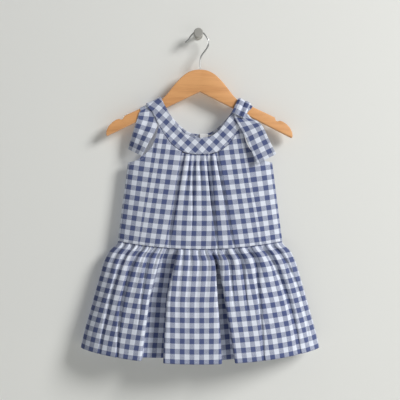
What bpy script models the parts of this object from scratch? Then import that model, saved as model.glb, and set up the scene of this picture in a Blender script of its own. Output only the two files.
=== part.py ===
"""A child's gingham dress on a wooden hanger, hung from a wall peg.

The dress has a round bias-cut yoke at the front and the back, a front and a back panel gathered
into the yokes, a gathered skirt tier below a dropped waist, and shoulder ties that go over the
hanger. Metres, +Z up. The origin is where the peg's base meets the wall: the wall is the plane
Y = 0, and the front of the dress faces -Y. Every cloth piece is an open surface that a Solidify
modifier turns into a wall.
"""

import math

import bmesh
import bpy
import numpy as np
from mathutils import Vector

# The peg and the hanger
PEG_BASE_RADIUS = 0.008
PEG_BASE_DEPTH = 0.0025
PEG_NECK_RADIUS = 0.0032
PEG_HEAD_RADIUS = 0.009
PEG_HEAD_START = 0.025
PEG_LENGTH = 0.029
WIRE_DIAMETER = 0.003
HANGER_HALF_WIDTH = 0.178
HANGER_THICKNESS = 0.012
HANGER_EDGE_ROUND = 0.0015
HANGER_TOP_Z = -0.0695
HANGER_APEX_Z = -0.1115
HANGER_TIP_Z = -0.1985
HANGER_Y = -0.020
HANGER_TILT = 0.0117
SOCKET_DEPTH = 0.025
SOCKET_CLEARANCE = 0.0006

# The dress hangs beside the peg's axis, below the stem of the hook
MIDDLE_X = 0.003

# The cloth
CLOTH = 0.0011
SEAM_GAP = 0.0005
SIDE_SEAM_GAP = 0.00075
WAIST_GAP = 0.0009
NECK_Z = -0.2005
YOKE_Z = -0.2320
UNDERARM_Z = -0.247
UNDERARM_HALF_WIDTH = 0.1374
WAIST_SIDE_Z = -0.397
WAIST_MIDDLE_Z = -0.411
WAIST_HALF_WIDTH = 0.1568
BACK_NECK_RISE = 0.0085
SIDE_SEAM_Y = -0.021
SECTION_FLATNESS = 2.4
SECTION_EDGE = 0.64

# The gathered middle of a body panel: its cut width, and how wide it shows at the waist and at the yoke
GATHERED_CUT = 0.152
GATHERED_AT_WAIST = 0.134
GATHERED_AT_YOKE = 0.070
YOKE_GATHERS = 8
PANEL_ROWS = (0.0, 0.10, 0.22, 0.36, 0.50, 0.63, 0.75, 0.85, 0.93, 1.0)
FRONT_CREASE_DEPTH = 0.0057
BACK_CREASE_DEPTH = 0.0041
PUCKER_HEIGHT = 0.0039
CREASE_RIDGE = 0.003
CREASE_ROOT = 0.006

# The skirt tier, half of it at the front and half at the back
SKIRT_CUT = 0.600
SKIRT_GATHERS = 34
SKIRT_DROP_MIDDLE = 0.207
SKIRT_DROP_SIDE = 0.2015
EDGE_CLOTH_SHARE = 0.34
HEM_LIFT = 0.10
FOLD_RIDGE = 0.010
FOLD_ROOT = 0.012
SEAM_PUCKER = 0.0016
FOLD_START = 0.0020
FOLD_ROOM = 0.76
STEEPEST = 1.5

# Depths of the front and the back of the body, by height: (z, y at the front, y at the back)
BODY_DEPTHS = np.array([
    (-0.420, -0.0440, -0.0072),
    (-0.360, -0.0410, -0.0080),
    (-0.300, -0.0375, -0.0088),
    (-0.231, -0.0335, -0.0100),
    (-0.200, -0.0315, -0.0108),
    (-0.170, -0.0298, -0.0116),
    (-0.126, -0.0288, -0.0120),
])

# Half of the body's width, by height. Above the underarm it is the width that the armhole cuts away.
BODY_WIDTHS = np.array([
    (-0.420, 0.1590),
    (-0.397, 0.1568),
    (-0.247, 0.1374),
    (-0.235, 0.1500),
    (-0.200, 0.1950),
    (-0.120, 0.3000),
])

# Rows of the skirt: (share of the drop, half-width, front y, back y, side y, strength of the gathers in
# radians)
SKIRT_ROWS = np.array([
    (0.000, 0.1568, -0.0437, -0.0074, -0.0210, 1.05),
    (0.015, 0.1575, -0.0450, -0.0070, -0.0210, 1.05),
    (0.085, 0.1710, -0.0530, -0.0060, -0.0212, 0.62),
    (0.175, 0.1805, -0.0605, -0.0050, -0.0216, 0.36),
    (0.290, 0.1880, -0.0675, -0.0045, -0.0222, 0.22),
    (0.450, 0.1975, -0.0745, -0.0040, -0.0232, 0.12),
    (0.660, 0.2095, -0.0805, -0.0038, -0.0245, 0.05),
    (0.830, 0.2190, -0.0845, -0.0036, -0.0255, 0.00),
    (1.000, 0.2269, -0.0875, -0.0034, -0.0260, 0.00),
])
FINE_SKIRT_ROWS = 5

# Folds of the skirt, from left to right. The first three columns say where the middle of a fold is on the cut
# cloth, near the waist, halfway and at the hem. Then come the width of its floor at the waist and at the hem,
# the size of its flanks at those three places, how steep its left and right flanks are, and its floor's tilt.
FOLD_SHARES = (0.1, 0.45, 1.0)
FRONT_FOLDS = (
    (-0.2532, -0.2478, -0.2396, 0.002, 0.004, 0.28, 0.25, 0.09, 1.10, 1.10, 0.0),
    (-0.2230, -0.2196, -0.2033, 0.001, 0.003, 0.34, 0.34, 0.16, 1.20, 1.30, 0.0),
    (-0.1887, -0.1789, -0.1697, 0.001, 0.002, 0.34, 0.14, 0.00, 1.20, 1.20, 0.0),
    (-0.1090, -0.1150, -0.1155, 0.032, 0.044, 1.15, 1.30, 1.30, 1.55, 1.75, 0.25),
    (0.0635, 0.0720, 0.0760, 0.006, 0.024, 1.10, 1.25, 1.25, 1.65, 1.60, 0.25),
    (0.1272, 0.1267, 0.1168, 0.001, 0.002, 0.34, 0.08, 0.00, 1.20, 1.20, 0.0),
    (0.1599, 0.1521, 0.1410, 0.001, 0.002, 0.30, 0.10, 0.00, 1.20, 1.20, 0.0),
    (0.1949, 0.1795, 0.1662, 0.002, 0.004, 0.36, 0.26, 0.12, 1.20, 1.10, 0.0),
    (0.2339, 0.2383, 0.2355, 0.003, 0.008, 0.44, 0.44, 0.12, 1.10, 1.10, 0.0),
    (0.2640, 0.2694, 0.2583, 0.002, 0.004, 0.26, 0.20, 0.08, 1.00, 1.00, 0.0),
)
BACK_FOLDS = (
    (-0.2585, -0.2522, -0.2432, 0.002, 0.010, 0.50, 0.50, 0.40, 1.20, 1.20, 0.0),
    (-0.1962, -0.1997, -0.1995, 0.001, 0.002, 0.35, 0.20, 0.00, 1.20, 1.20, 0.0),
    (-0.1246, -0.1262, -0.1267, 0.008, 0.026, 0.80, 0.85, 0.85, 1.45, 1.45, 0.2),
    (-0.0502, -0.0514, -0.0538, 0.001, 0.002, 0.35, 0.15, 0.00, 1.20, 1.20, 0.0),
    (0.0216, 0.0208, 0.0236, 0.004, 0.016, 0.70, 0.75, 0.75, 1.40, 1.45, 0.1),
    (0.0923, 0.0891, 0.0868, 0.001, 0.002, 0.35, 0.20, 0.10, 1.20, 1.20, 0.0),
    (0.1611, 0.1603, 0.1584, 0.006, 0.022, 0.80, 0.85, 0.85, 1.45, 1.40, -0.2),
    (0.2296, 0.2301, 0.2266, 0.001, 0.003, 0.35, 0.30, 0.20, 1.20, 1.20, 0.0),
    (0.2606, 0.2674, 0.2660, 0.002, 0.004, 0.25, 0.20, 0.12, 1.00, 1.00, 0.0),
)

# Creases of the body panels. The first three columns say where a crease is on the cut cloth, at the waist,
# halfway and at the yoke. Then come the size of its flanks at those places, and how steep they are.
CREASE_SHARES = (0.0, 0.5, 1.0)
CREASE_FLOOR = 0.001
FRONT_CREASES = (
    (-0.0665, -0.0623, -0.0621, 1.00, 1.10, 1.00, 1.50, 1.20),
    (-0.0181, -0.0192, -0.0225, 0.00, 0.35, 0.80, 1.35, 1.10),
    (0.0331, 0.0275, 0.0252, 0.80, 1.00, 0.90, 1.50, 1.15),
    (0.0699, 0.0679, 0.0638, 0.90, 1.00, 0.90, 1.50, 1.20),
)
BACK_CREASES = (
    (-0.0610, -0.0590, -0.0570, 1.00, 1.00, 0.90, 1.20, 1.40),
    (-0.0120, -0.0150, -0.0180, 0.50, 0.80, 0.90, 1.20, 1.30),
    (0.0250, 0.0240, 0.0220, 0.00, 0.40, 0.80, 1.10, 1.30),
    (0.0640, 0.0630, 0.0600, 1.00, 1.00, 0.90, 1.20, 1.45),
)
# Strength of the gathers below a yoke, in radians, by the share of the way up to it: (share, strength)
YOKE_GATHER_FADE = np.array([
    (0.00, 0.00), (0.35, 0.05), (0.50, 0.16), (0.65, 0.42), (0.80, 0.80), (0.92, 1.15), (1.00, 1.25),
])

# Edges of the yoke, from the middle outwards and up to the hanger: (x, z)
NECK_EDGE = (
    (0.0, NECK_Z), (0.0150, -0.1988), (0.0272, -0.1935), (0.0370, -0.1843), (0.0458, -0.1733),
    (0.0548, -0.1600), (0.0640, -0.1440), (0.0716, -0.1300),
)
YOKE_EDGE = (
    (0.0, YOKE_Z), (0.0190, -0.2308), (0.0357, -0.2255), (0.0510, -0.2150), (0.0660, -0.1965),
    (0.0790, -0.1745), (0.0900, -0.1530), (0.0985, -0.1410),
)
# Lines across half of a yoke, and the one where the armhole leaves its edge
YOKE_LINES = 15
ARMHOLE_LINE = 10
# The armhole from the yoke's edge down to the underarm
ARMHOLE = (
    (0.0838, -0.1965), (0.0930, -0.2195), (0.1095, -0.2345), (0.1240, -0.2440),
    (UNDERARM_HALF_WIDTH, UNDERARM_Z),
)
ARMHOLE_WAIST_X = 0.1200

# The top edge of the hanger's arm, where the straps cross it
ARM_INNER = (0.0713, -0.1262)
ARM_OUTER = (0.1435, -0.1592)

# The straps and the ties, where they cross the arm: from and to in X, and how far they stand off the wood
STRAP_X = (0.0725, 0.1005)
LEFT_TIE_X = (0.0790, 0.1140)
KNOT_X = (0.0725, 0.0960)
STRAP_STEPS = 3
# Edges of the left tie in front, below the arm: (outer x, y, z, inner x, y, z, depth of the pleat)
LEFT_TIE_FRONT = (
    (-0.1158, -0.0273, -0.1520, -0.0782, -0.0273, -0.1470, 0.0),
    (-0.1184, -0.0275, -0.1600, -0.0790, -0.0274, -0.1660, 0.0),
    (-0.1218, -0.0274, -0.1705, -0.0828, -0.0285, -0.1810, 0.0012),
    (-0.1264, -0.0248, -0.1840, -0.0905, -0.0307, -0.1970, 0.0014),
    (-0.1322, -0.0204, -0.2015, -0.1008, -0.0336, -0.2160, 0.0008),
    (-0.1385, -0.0155, -0.2208, -0.1105, -0.0362, -0.2350, 0.0),
)
# Depth of the knot's gathers where it goes over the arm, from the back to the front
KNOT_GATHERS = (0.0006, 0.0008, 0.0008, 0.0010, 0.0010, 0.0012, 0.0014, 0.0018, 0.0022, 0.0024)
# The knot below the arm in front: (how far down, how far back, depth of its gathers)
KNOT_BELOW = ((0.006, -0.0024, 0.0026), (0.013, -0.0038, 0.0024), (0.021, -0.0046, 0.0014))
KNOT_WAY_DOWN = (-0.413, -0.911)
# Edges of the right tie from under the knot down: (inner x, y, z, outer x, y, z)
RIGHT_TIE_FRONT = (
    (0.0655, -0.0307, -0.1520, 0.0905, -0.0304, -0.1550),
    (0.0655, -0.0312, -0.1610, 0.0975, -0.0308, -0.1635),
    (0.0725, -0.0345, -0.1755, 0.1085, -0.0333, -0.1690),
    (0.0830, -0.0380, -0.1945, 0.1175, -0.0362, -0.1785),
    (0.0945, -0.0405, -0.2210, 0.1295, -0.0385, -0.2030),
    (0.1075, -0.0425, -0.2500, 0.1435, -0.0405, -0.2320),
)

# The blank label, between these edges of the front view
LABEL_X = (-0.001, 0.015)
LABEL_Z = (-0.1918, -0.2030)

COLOURS = {
    "gingham": ((0.23, 0.27, 0.44), 0.85, 0.0),
    "label": ((0.80, 0.79, 0.74), 0.80, 0.0),
    "wood": ((0.72, 0.42, 0.20), 0.45, 0.0),
    "steel": ((0.55, 0.55, 0.53), 0.35, 1.0),
}


# Scene, collections and materials

def clear_scene():
    for obj in list(bpy.data.objects):
        bpy.data.objects.remove(obj)


def new_collection(name):
    collection = bpy.data.collections.new(name)
    bpy.context.scene.collection.children.link(collection)
    return collection


def material(name, node):
    colour, roughness, metallic = COLOURS[name]
    made = bpy.data.materials.new(node)
    made.use_nodes = True
    shader = made.node_tree.nodes["Principled BSDF"]
    shader.inputs["Base Color"].default_value = (*colour, 1.0)
    shader.inputs["Roughness"].default_value = roughness
    shader.inputs["Metallic"].default_value = metallic
    return made


def add_object(collection, name, data, finish, hanging=None):
    obj = bpy.data.objects.new(name, data)
    collection.objects.link(obj)
    data.materials.clear()
    data.materials.append(material(finish, name))
    if hanging is not None:
        obj.parent = hanging
    return obj


# Curves and tables

def smooth_value(x, xs, ys):
    """The value at x of the smooth curve through a table whose xs rise. It doesn't overshoot the table."""
    xs = np.asarray(xs, float)
    ys = np.asarray(ys, float)
    steps = np.diff(ys) / np.diff(xs)
    most = 2.5 * np.minimum(np.abs(np.append(steps[0], steps)), np.abs(np.append(steps, steps[-1])))
    slopes = np.clip(np.gradient(ys, xs), -most, most)
    i = np.clip(np.searchsorted(xs, x) - 1, 0, len(xs) - 2)
    step = xs[i + 1] - xs[i]
    t = np.clip((x - xs[i]) / step, 0.0, 1.0)
    return (
        ys[i] * (1 + 2 * t) * (1 - t) ** 2
        + slopes[i] * step * t * (1 - t) ** 2
        + ys[i + 1] * t * t * (3 - 2 * t)
        + slopes[i + 1] * step * t * t * (t - 1)
    )


def lengths(points):
    """How far along a line each of its points is, measured by its first three coordinates or fewer."""
    return np.concatenate([[0.0], np.cumsum(np.linalg.norm(np.diff(points[:, :3], axis=0), axis=1))])


def spaced_points(points, shares):
    """Points of the smooth curve through some points, at these shares of its length."""
    points = np.array(points, float)
    along = lengths(points)
    fine = np.linspace(0.0, along[-1], 40 * len(points))
    curve = np.stack([smooth_value(fine, along, axis) for axis in points.T], axis=1)
    length = lengths(curve)
    wanted = np.asarray(shares) * length[-1]
    return np.stack([np.interp(wanted, length, axis) for axis in curve.T], axis=1)


def body_y(x, z, side):
    """The depth of the smooth body at a point of the front view: side is 'front' or 'back'."""
    column = 1 if side == "front" else 2
    middle = smooth_value(z, BODY_DEPTHS[:, 0], BODY_DEPTHS[:, column])
    half = np.interp(z, BODY_WIDTHS[:, 0], BODY_WIDTHS[:, 1])
    return SIDE_SEAM_Y + (middle - SIDE_SEAM_Y) * pillow(x / half)


def pillow(share):
    """How far the section stands out at a share of its half-width, from 1 in the middle to 0 at the side."""
    inside = 1.0 - np.clip(np.abs(share), 0.0, 1.0) ** SECTION_FLATNESS
    return inside ** SECTION_EDGE


def raised(points, rise):
    """The points of an edge in the front view, raised near the neck and not at the shoulders."""
    points = np.array(points, float)
    points[:, 1] += rise * np.clip((-0.150 - points[:, 1]) / 0.040, 0.0, 1.0)
    return points


def smooth_step(t):
    """From 0 to 1 as t goes from -0.5 to 0.5."""
    t = np.clip(t + 0.5, 0.0, 1.0)
    return t * t * (3.0 - 2.0 * t)


def valley_angle(u, middle, floor, flank, left, right, ridge, root, tilt=0.0):
    """The slope along a row of cloth that goes down a flank into a valley and up the other flank.

    tilt is how far the floor still falls towards its right, which makes the right flank longer.
    """
    ridge = min(ridge, 0.8 * flank + 0.001)
    root = min(root, 0.8 * flank + 0.0015)
    far = flank + floor * math.sin(tilt) / math.sin(min(right, STEEPEST))
    down, up = middle - floor / 2, middle + floor / 2
    after_down, after_up = smooth_step((u - down) / root), smooth_step((u - up) / root)
    falls = smooth_step((u - down + flank) / ridge) * (1.0 - after_down)
    rises = after_up * (1.0 - smooth_step((u - up - far) / ridge))
    return right * rises - left * falls - tilt * after_down * (1.0 - after_up)


def puckers(turn):
    """The slope of gathers whose lobes are broad and round, with narrow creases between them."""
    return 0.85 * (np.sin(turn) + 0.40 * np.sin(2 * turn) + 0.12 * np.sin(3 * turn))


def laid_row(cut, span, gathers, valleys):
    """A row of cloth of that cut width, laid in folds so that it spans less.

    gathers gives the slope of its gathers along the cut cloth, and valleys the slope of its folds when
    a flank has that length. The flanks are made long enough for the row to fit the span. Returns the
    place on the cut cloth, across the front view, and outwards.
    """
    u = np.linspace(-cut / 2, cut / 2, 2001)
    step = u[1] - u[0]

    def bend(flank):
        folds = valleys(u, flank)
        return np.clip(folds + gathers(u) * (1.0 - np.minimum(1.0, np.abs(folds))), -STEEPEST, STEEPEST)

    low, high = 0.0, cut / 9
    for _ in range(20):
        flank = (low + high) / 2
        if np.cos(bend(flank)).mean() * cut > span:
            low = flank
        else:
            high = flank
    angle = bend(flank)
    across = np.concatenate([[0.0], np.cumsum((np.cos(angle[1:]) + np.cos(angle[:-1])) / 2 * step)])
    out = np.concatenate([[0.0], np.cumsum((np.sin(angle[1:]) + np.sin(angle[:-1])) / 2 * step)])
    across = (across / across[-1] - 0.5) * span
    out -= np.linspace(out[0], out[-1], len(out))
    return u, across, out


def limited(fold, inward, outward):
    """The fold's depth, softly kept within a depth inwards and a height outwards."""
    most = np.where(fold < 0.0, inward, outward)
    return fold / (1.0 + np.abs(fold / most) ** 6) ** (1.0 / 6.0)


# Solids from surfaces

def cloth_wall(collection, name, rows, hanging, outward, finish="gingham"):
    """A wall of cloth from rows of points. A row may have half as many steps as the one before it."""
    mesh = bpy.data.meshes.new(name)
    shape = bmesh.new()
    lines = [[shape.verts.new(point) for point in row] for row in rows]
    for upper, lower in zip(lines, lines[1:]):
        if len(upper) == len(lower):
            for i in range(len(upper) - 1):
                shape.faces.new((upper[i], lower[i], lower[i + 1], upper[i + 1]))
            continue
        for i in range(len(lower) - 1):
            left, middle, right = upper[2 * i:2 * i + 3]
            shape.faces.new((left, lower[i], middle))
            shape.faces.new((lower[i], lower[i + 1], middle))
            shape.faces.new((middle, lower[i + 1], right))
    shape.faces.ensure_lookup_table()
    bmesh.ops.recalc_face_normals(shape, faces=shape.faces)
    total = sum((face.normal * face.calc_area() for face in shape.faces), Vector())
    if total.dot(Vector(outward)) < 0:
        bmesh.ops.reverse_faces(shape, faces=shape.faces)
    shape.to_mesh(mesh)
    shape.free()
    mesh.shade_smooth()
    obj = add_object(collection, name, mesh, finish, hanging)
    wall = obj.modifiers.new("Wall", "SOLIDIFY")
    wall.thickness = CLOTH
    wall.offset = 0.0
    wall.use_even_offset = False
    wall.use_quality_normals = True
    return obj


# The peg, the hook and the wooden hanger

def wall_peg(collection):
    """A turned steel peg: a base on the wall, a neck that carries the hook, and a round head."""
    edge = 0.0006
    profile = [
        (0.0, 0.0), (PEG_BASE_RADIUS, 0.0),
        (PEG_BASE_RADIUS, PEG_BASE_DEPTH - edge), (PEG_BASE_RADIUS - edge, PEG_BASE_DEPTH),
        (PEG_NECK_RADIUS, PEG_BASE_DEPTH), (PEG_NECK_RADIUS, PEG_HEAD_START),
        (PEG_HEAD_RADIUS - edge, PEG_HEAD_START), (PEG_HEAD_RADIUS, PEG_HEAD_START + edge),
        (PEG_HEAD_RADIUS, PEG_LENGTH - 2 * edge), (PEG_HEAD_RADIUS - 2 * edge, PEG_LENGTH), (0.0, PEG_LENGTH),
    ]
    mesh = bpy.data.meshes.new("wall_peg")
    points = [(radius, 0.0, along) for radius, along in reversed(profile)]
    mesh.from_pydata(points, [(i, i + 1) for i in range(len(points) - 1)], [])
    peg = add_object(collection, "wall_peg", mesh, "steel")
    peg.rotation_euler = (math.radians(90.0), 0.0, 0.0)
    turn = peg.modifiers.new("Turn", "SCREW")
    turn.steps = turn.render_steps = 24
    turn.use_merge_vertices = True
    turn.merge_threshold = 0.00005
    turn.use_smooth_shade = True
    return peg


def hanger_hook(collection):
    """The wire hook: up out of the wood, round over the neck of the peg, and down to a flared tip."""
    crown = PEG_NECK_RADIUS + 0.0005 + WIRE_DIAMETER / 2
    foot = HANGER_TOP_Z - SOCKET_DEPTH + 0.0015
    route = [
        (MIDDLE_X, foot), (MIDDLE_X, -0.074), (MIDDLE_X, -0.060), (MIDDLE_X, -0.0510), (0.0042, -0.0455),
        (0.0092, -0.0375), (0.0152, -0.0295), (0.0188, -0.0215), (0.0192, -0.0150), (0.0170, -0.0085),
        (0.0130, -0.0030), (0.0075, 0.0020), (0.0, crown), (-0.0075, 0.0020), (-0.0125, -0.0025),
        (-0.0165, -0.0075), (-0.0192, -0.0120), (-0.0222, -0.0155), (-0.0260, -0.0175),
    ]
    points = spaced_points(route, np.linspace(0.0, 1.0, 44))
    curve = bpy.data.curves.new("hanger_hook", "CURVE")
    curve.dimensions = "3D"
    curve.bevel_depth = WIRE_DIAMETER / 2
    curve.bevel_resolution = 1
    curve.use_fill_caps = True
    spline = curve.splines.new("POLY")
    spline.points.add(len(points) - 1)
    for point, (x, z) in zip(spline.points, points):
        point.co = (x, HANGER_Y, z, 1.0)
    return add_object(collection, "hanger_hook", curve, "steel")


def hanger_outline():
    """Half of the hanger's outline in the front view, from the top of the middle round to the apex below."""
    crown = spaced_points(
        [(0.0, HANGER_TOP_Z), (0.014, -0.0715), (0.028, -0.0785), (0.0410, -0.0905),
         (0.0560, -0.1085), (0.0640, -0.1187), ARM_INNER],
        np.linspace(0.0, 1.0, 13),
    )
    notch = [
        ARM_OUTER, (0.1458, -0.1655), (0.1490, -0.1670), (0.1530, -0.1655), (0.1587, -0.1670),
        (0.1660, -0.1717), (0.1730, -0.1790), (0.1772, -0.1875), (HANGER_HALF_WIDTH, -0.1945),
        (HANGER_HALF_WIDTH - 0.001, HANGER_TIP_Z),
    ]
    return [tuple(point) for point in crown] + notch + [(0.0, HANGER_APEX_Z)]


def hanger_wood(collection, cutters, hanging):
    """The flat wooden hanger: half of its outline mirrored, rounded edges, and the socket of the hook."""
    mesh = bpy.data.meshes.new("hanger_wood")
    shape = bmesh.new()
    front = HANGER_Y - HANGER_THICKNESS / 2
    face = shape.faces.new([shape.verts.new((x, front, z)) for x, z in hanger_outline()])
    grown = bmesh.ops.extrude_face_region(shape, geom=[face])
    moved = [item for item in grown["geom"] if isinstance(item, bmesh.types.BMVert)]
    bmesh.ops.translate(shape, verts=moved, vec=(0.0, HANGER_THICKNESS, 0.0))
    middle = [f for f in shape.faces if all(abs(v.co.x) < 1e-6 for v in f.verts)]
    bmesh.ops.delete(shape, geom=middle, context="FACES_ONLY")
    bmesh.ops.recalc_face_normals(shape, faces=shape.faces)
    shape.to_mesh(mesh)
    shape.free()
    wood = add_object(collection, "hanger_wood", mesh, "wood", hanging)
    wood.location = (-HANGER_TOP_Z * math.sin(HANGER_TILT), 0.0, 0.0)
    wood.rotation_euler = (0.0, HANGER_TILT, 0.0)
    mirror = wood.modifiers.new("Other half", "MIRROR")
    mirror.use_axis = (True, False, False)
    mirror.merge_threshold = 0.00005
    rounding = wood.modifiers.new("Rounded edges", "BEVEL")
    rounding.width = HANGER_EDGE_ROUND
    rounding.segments = 2
    rounding.limit_method = "ANGLE"
    rounding.angle_limit = math.radians(60.0)

    bpy.ops.mesh.primitive_cylinder_add(
        vertices=16, radius=WIRE_DIAMETER / 2 + SOCKET_CLEARANCE, depth=2 * SOCKET_DEPTH,
        location=(0.0, HANGER_Y, HANGER_TOP_Z),
    )
    drill = bpy.context.object
    drill.name = "socket_cutter"
    for holder in list(drill.users_collection):
        holder.objects.unlink(drill)
    cutters.objects.link(drill)
    drill.parent = wood
    drill.hide_render = True
    drill.display_type = "WIRE"
    socket = wood.modifiers.new("Socket", "BOOLEAN")
    socket.operation = "DIFFERENCE"
    socket.object = drill
    return wood


# The way over the hanger's arm

def over_the_arm(layer, front, back):
    """A band's way over the arm, seen from its end, as points of (up from the arm's top edge, y).

    layer is how far it stands off the wood. It starts that far below the top edge in front, and ends
    that far below it behind.
    """
    reach = HANGER_THICKNESS / 2 + layer
    radius = layer + HANGER_EDGE_ROUND
    corner = [(layer - radius + radius * math.sin(a), reach - radius + radius * math.cos(a))
              for a in np.linspace(0.0, math.pi / 2, 4)]
    path = [(-front, -reach)] + [(up, -y) for up, y in corner] + corner[::-1] + [(-back, reach)]
    return [(up, HANGER_Y + y) for up, y in path]


def tilted(x, z):
    """Where the hanger's slight tilt puts a point of its front view."""
    below = z - HANGER_TOP_Z
    return x * math.cos(HANGER_TILT) + below * math.sin(HANGER_TILT), z - x * math.sin(HANGER_TILT)


def arm_frame(x, hand):
    """A point of the top edge of one arm, and the way up from it.

    hand is 1 for the right arm of the front view and -1 for the left.
    """
    slope = (ARM_OUTER[1] - ARM_INNER[1]) / (ARM_OUTER[0] - ARM_INNER[0])
    ends = []
    for far in (x, x + 0.01):
        ends.append(np.array(tilted(hand * far, ARM_INNER[1] + slope * (far - ARM_INNER[0]))))
    along = (ends[1] - ends[0]) / 0.01
    return ends[0], np.array([-along[1], along[0]]) * hand


def wrap_lines(hand, span, layer, front, back):
    """Lines across a band where it goes over an arm, from the front to the back."""
    lines = []
    for up, y in over_the_arm(layer, front, back):
        line = []
        for x in np.linspace(*span, STRAP_STEPS + 1):
            edge, rise = arm_frame(x, hand)
            place = edge + up * rise
            line.append((place[0], y, place[1]))
        lines.append(line)
    return lines


# The yokes

def yoke_edges(rise):
    """The neck edge and the outer edge of half a yoke, at the ends of its lines."""
    shares = np.linspace(0.0, 1.0, YOKE_LINES)
    return raised(spaced_points(NECK_EDGE, shares), rise), raised(spaced_points(YOKE_EDGE, shares), rise)


def yoke_half(side, rise, hand):
    """Lines across half of a yoke, from the middle up to the hanger, each from the neck outwards."""
    across = np.linspace(0.0, 1.0, STRAP_STEPS + 1)
    lines = []
    for a, b in zip(*yoke_edges(rise)):
        points = a + np.outer(across, b - a)
        y = body_y(points[:, 0], points[:, 1], side)
        lines.append([(hand * x, depth, z) for (x, z), depth in zip(points, y)])
    return lines


def front_yoke(collection, hanging):
    """The front yoke with its two straps, which go over the hanger. The left one lies on the tie."""
    left = yoke_half("front", 0.0, -1)[:-1] + wrap_lines(-1, STRAP_X, 0.0038, 0.0040, 0.0050)
    right = yoke_half("front", 0.0, 1)[:-1] + wrap_lines(1, STRAP_X, 0.0010, 0.0030, 0.0050)
    rows = list(reversed(left)) + right[1:]
    return cloth_wall(collection, "front_yoke", rows, hanging, (0.0, -1.0, 0.0))


def back_yoke(collection, hanging):
    """The back yoke. On the left its strap meets the tie, and on the right it meets the front strap."""
    halves = []
    for hand, layer, below in ((-1, 0.0010, 0.0120), (1, 0.0010, 0.0056)):
        last = wrap_lines(hand, STRAP_X, layer, 0.0, below)[-1]
        halves.append(yoke_half("back", BACK_NECK_RISE, hand)[:-2] + [last])
    rows = list(reversed(halves[0])) + halves[1][1:]
    return cloth_wall(collection, "back_yoke", rows, hanging, (0.0, 1.0, 0.0))


# The front and back panels

def waist_z(x):
    return WAIST_MIDDLE_Z + (WAIST_SIDE_Z - WAIST_MIDDLE_Z) * (x / WAIST_HALF_WIDTH) ** 2


def panel_rows(side, rise, creases):
    """Rows of points of a body panel, from the waist to the yoke and the armholes."""
    direction, deepest = (-1.0, FRONT_CREASE_DEPTH) if side == "front" else (1.0, BACK_CREASE_DEPTH)
    middle_u = np.linspace(-GATHERED_CUT / 2, GATHERED_CUT / 2, 4 * YOKE_GATHERS + 1)
    edge = yoke_edges(rise)[1][:ARMHOLE_LINE + 1]
    edge = edge - SEAM_GAP * np.array([-0.5, 1.0]) * np.linspace(0.0, 1.0, len(edge))[:, None] ** 0.5
    edge[:, 1] -= SEAM_GAP * np.linspace(1.0, 0.4, len(edge))

    # The columns at the side end under the yoke first, and then at the armhole
    top = [tuple(point) for point in edge if point[0] > GATHERED_AT_YOKE / 2 + 0.002]
    armhole = spaced_points([top[-1], *ARMHOLE], np.linspace(0.0, 1.0, 7))
    under = len(top)
    top += [tuple(point) for point in armhole[1:]]
    low = list(np.linspace(GATHERED_AT_WAIST / 2, ARMHOLE_WAIST_X, under + 1)[1:])
    outwards = np.sin(np.linspace(0.0, math.pi / 2, 7)[1:])
    low += list(ARMHOLE_WAIST_X + (WAIST_HALF_WIDTH - ARMHOLE_WAIST_X) * outwards)

    rows = []
    for share in PANEL_ROWS:
        span = GATHERED_AT_WAIST + (GATHERED_AT_YOKE - GATHERED_AT_WAIST) * share
        strength = np.interp(share, YOKE_GATHER_FADE[:, 0], YOKE_GATHER_FADE[:, 1])

        def gathers(u):
            return strength * puckers(2 * np.pi * YOKE_GATHERS * u / GATHERED_CUT)

        def valleys(u, flank):
            angle = np.zeros_like(u)
            for *places, small, middling, large, left, right in creases:
                middle = smooth_value(share, CREASE_SHARES, places)
                size = smooth_value(share, CREASE_SHARES, (small, middling, large))
                shape = (CREASE_FLOOR, flank * size, left, right, CREASE_RIDGE, CREASE_ROOT)
                angle += min(1.0, size / 0.3) * valley_angle(u, middle, *shape)
            return angle

        u, across, out = laid_row(GATHERED_CUT, span, gathers, valleys)
        x = np.interp(middle_u, u, across)
        top_z = np.interp(np.abs(middle_u) / GATHERED_CUT * GATHERED_AT_YOKE, edge[:, 0], edge[:, 1])
        bottom_z = waist_z(middle_u / GATHERED_CUT * GATHERED_AT_WAIST)
        z = bottom_z + (top_z - bottom_z) * share
        clear = smooth_step(min(share / 0.22, (1.0 - share) / 0.14) - 0.5)
        inward = 0.25 * deepest * (1.0 + 3.0 * clear)
        outward = 0.25 * PUCKER_HEIGHT * (1.0 + 3.0 * clear)
        y = body_y(x, z, side) + direction * limited(np.interp(middle_u, u, out), inward, outward)
        outer = []
        for (top_x, top_z), low_x in zip(top, low):
            side_x = low_x + (top_x - low_x) * share
            side_z = waist_z(low_x) + (top_z - waist_z(low_x)) * share
            outer.append((side_x, body_y(side_x, side_z, side), side_z))
        last = outer[-1]
        outer[-1] = (last[0], SIDE_SEAM_Y + direction * SIDE_SEAM_GAP, last[2])
        rows.append([(-x, y, z) for x, y, z in reversed(outer)] + list(zip(x, y, z)) + outer)
    return rows


# The skirt tier

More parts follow.
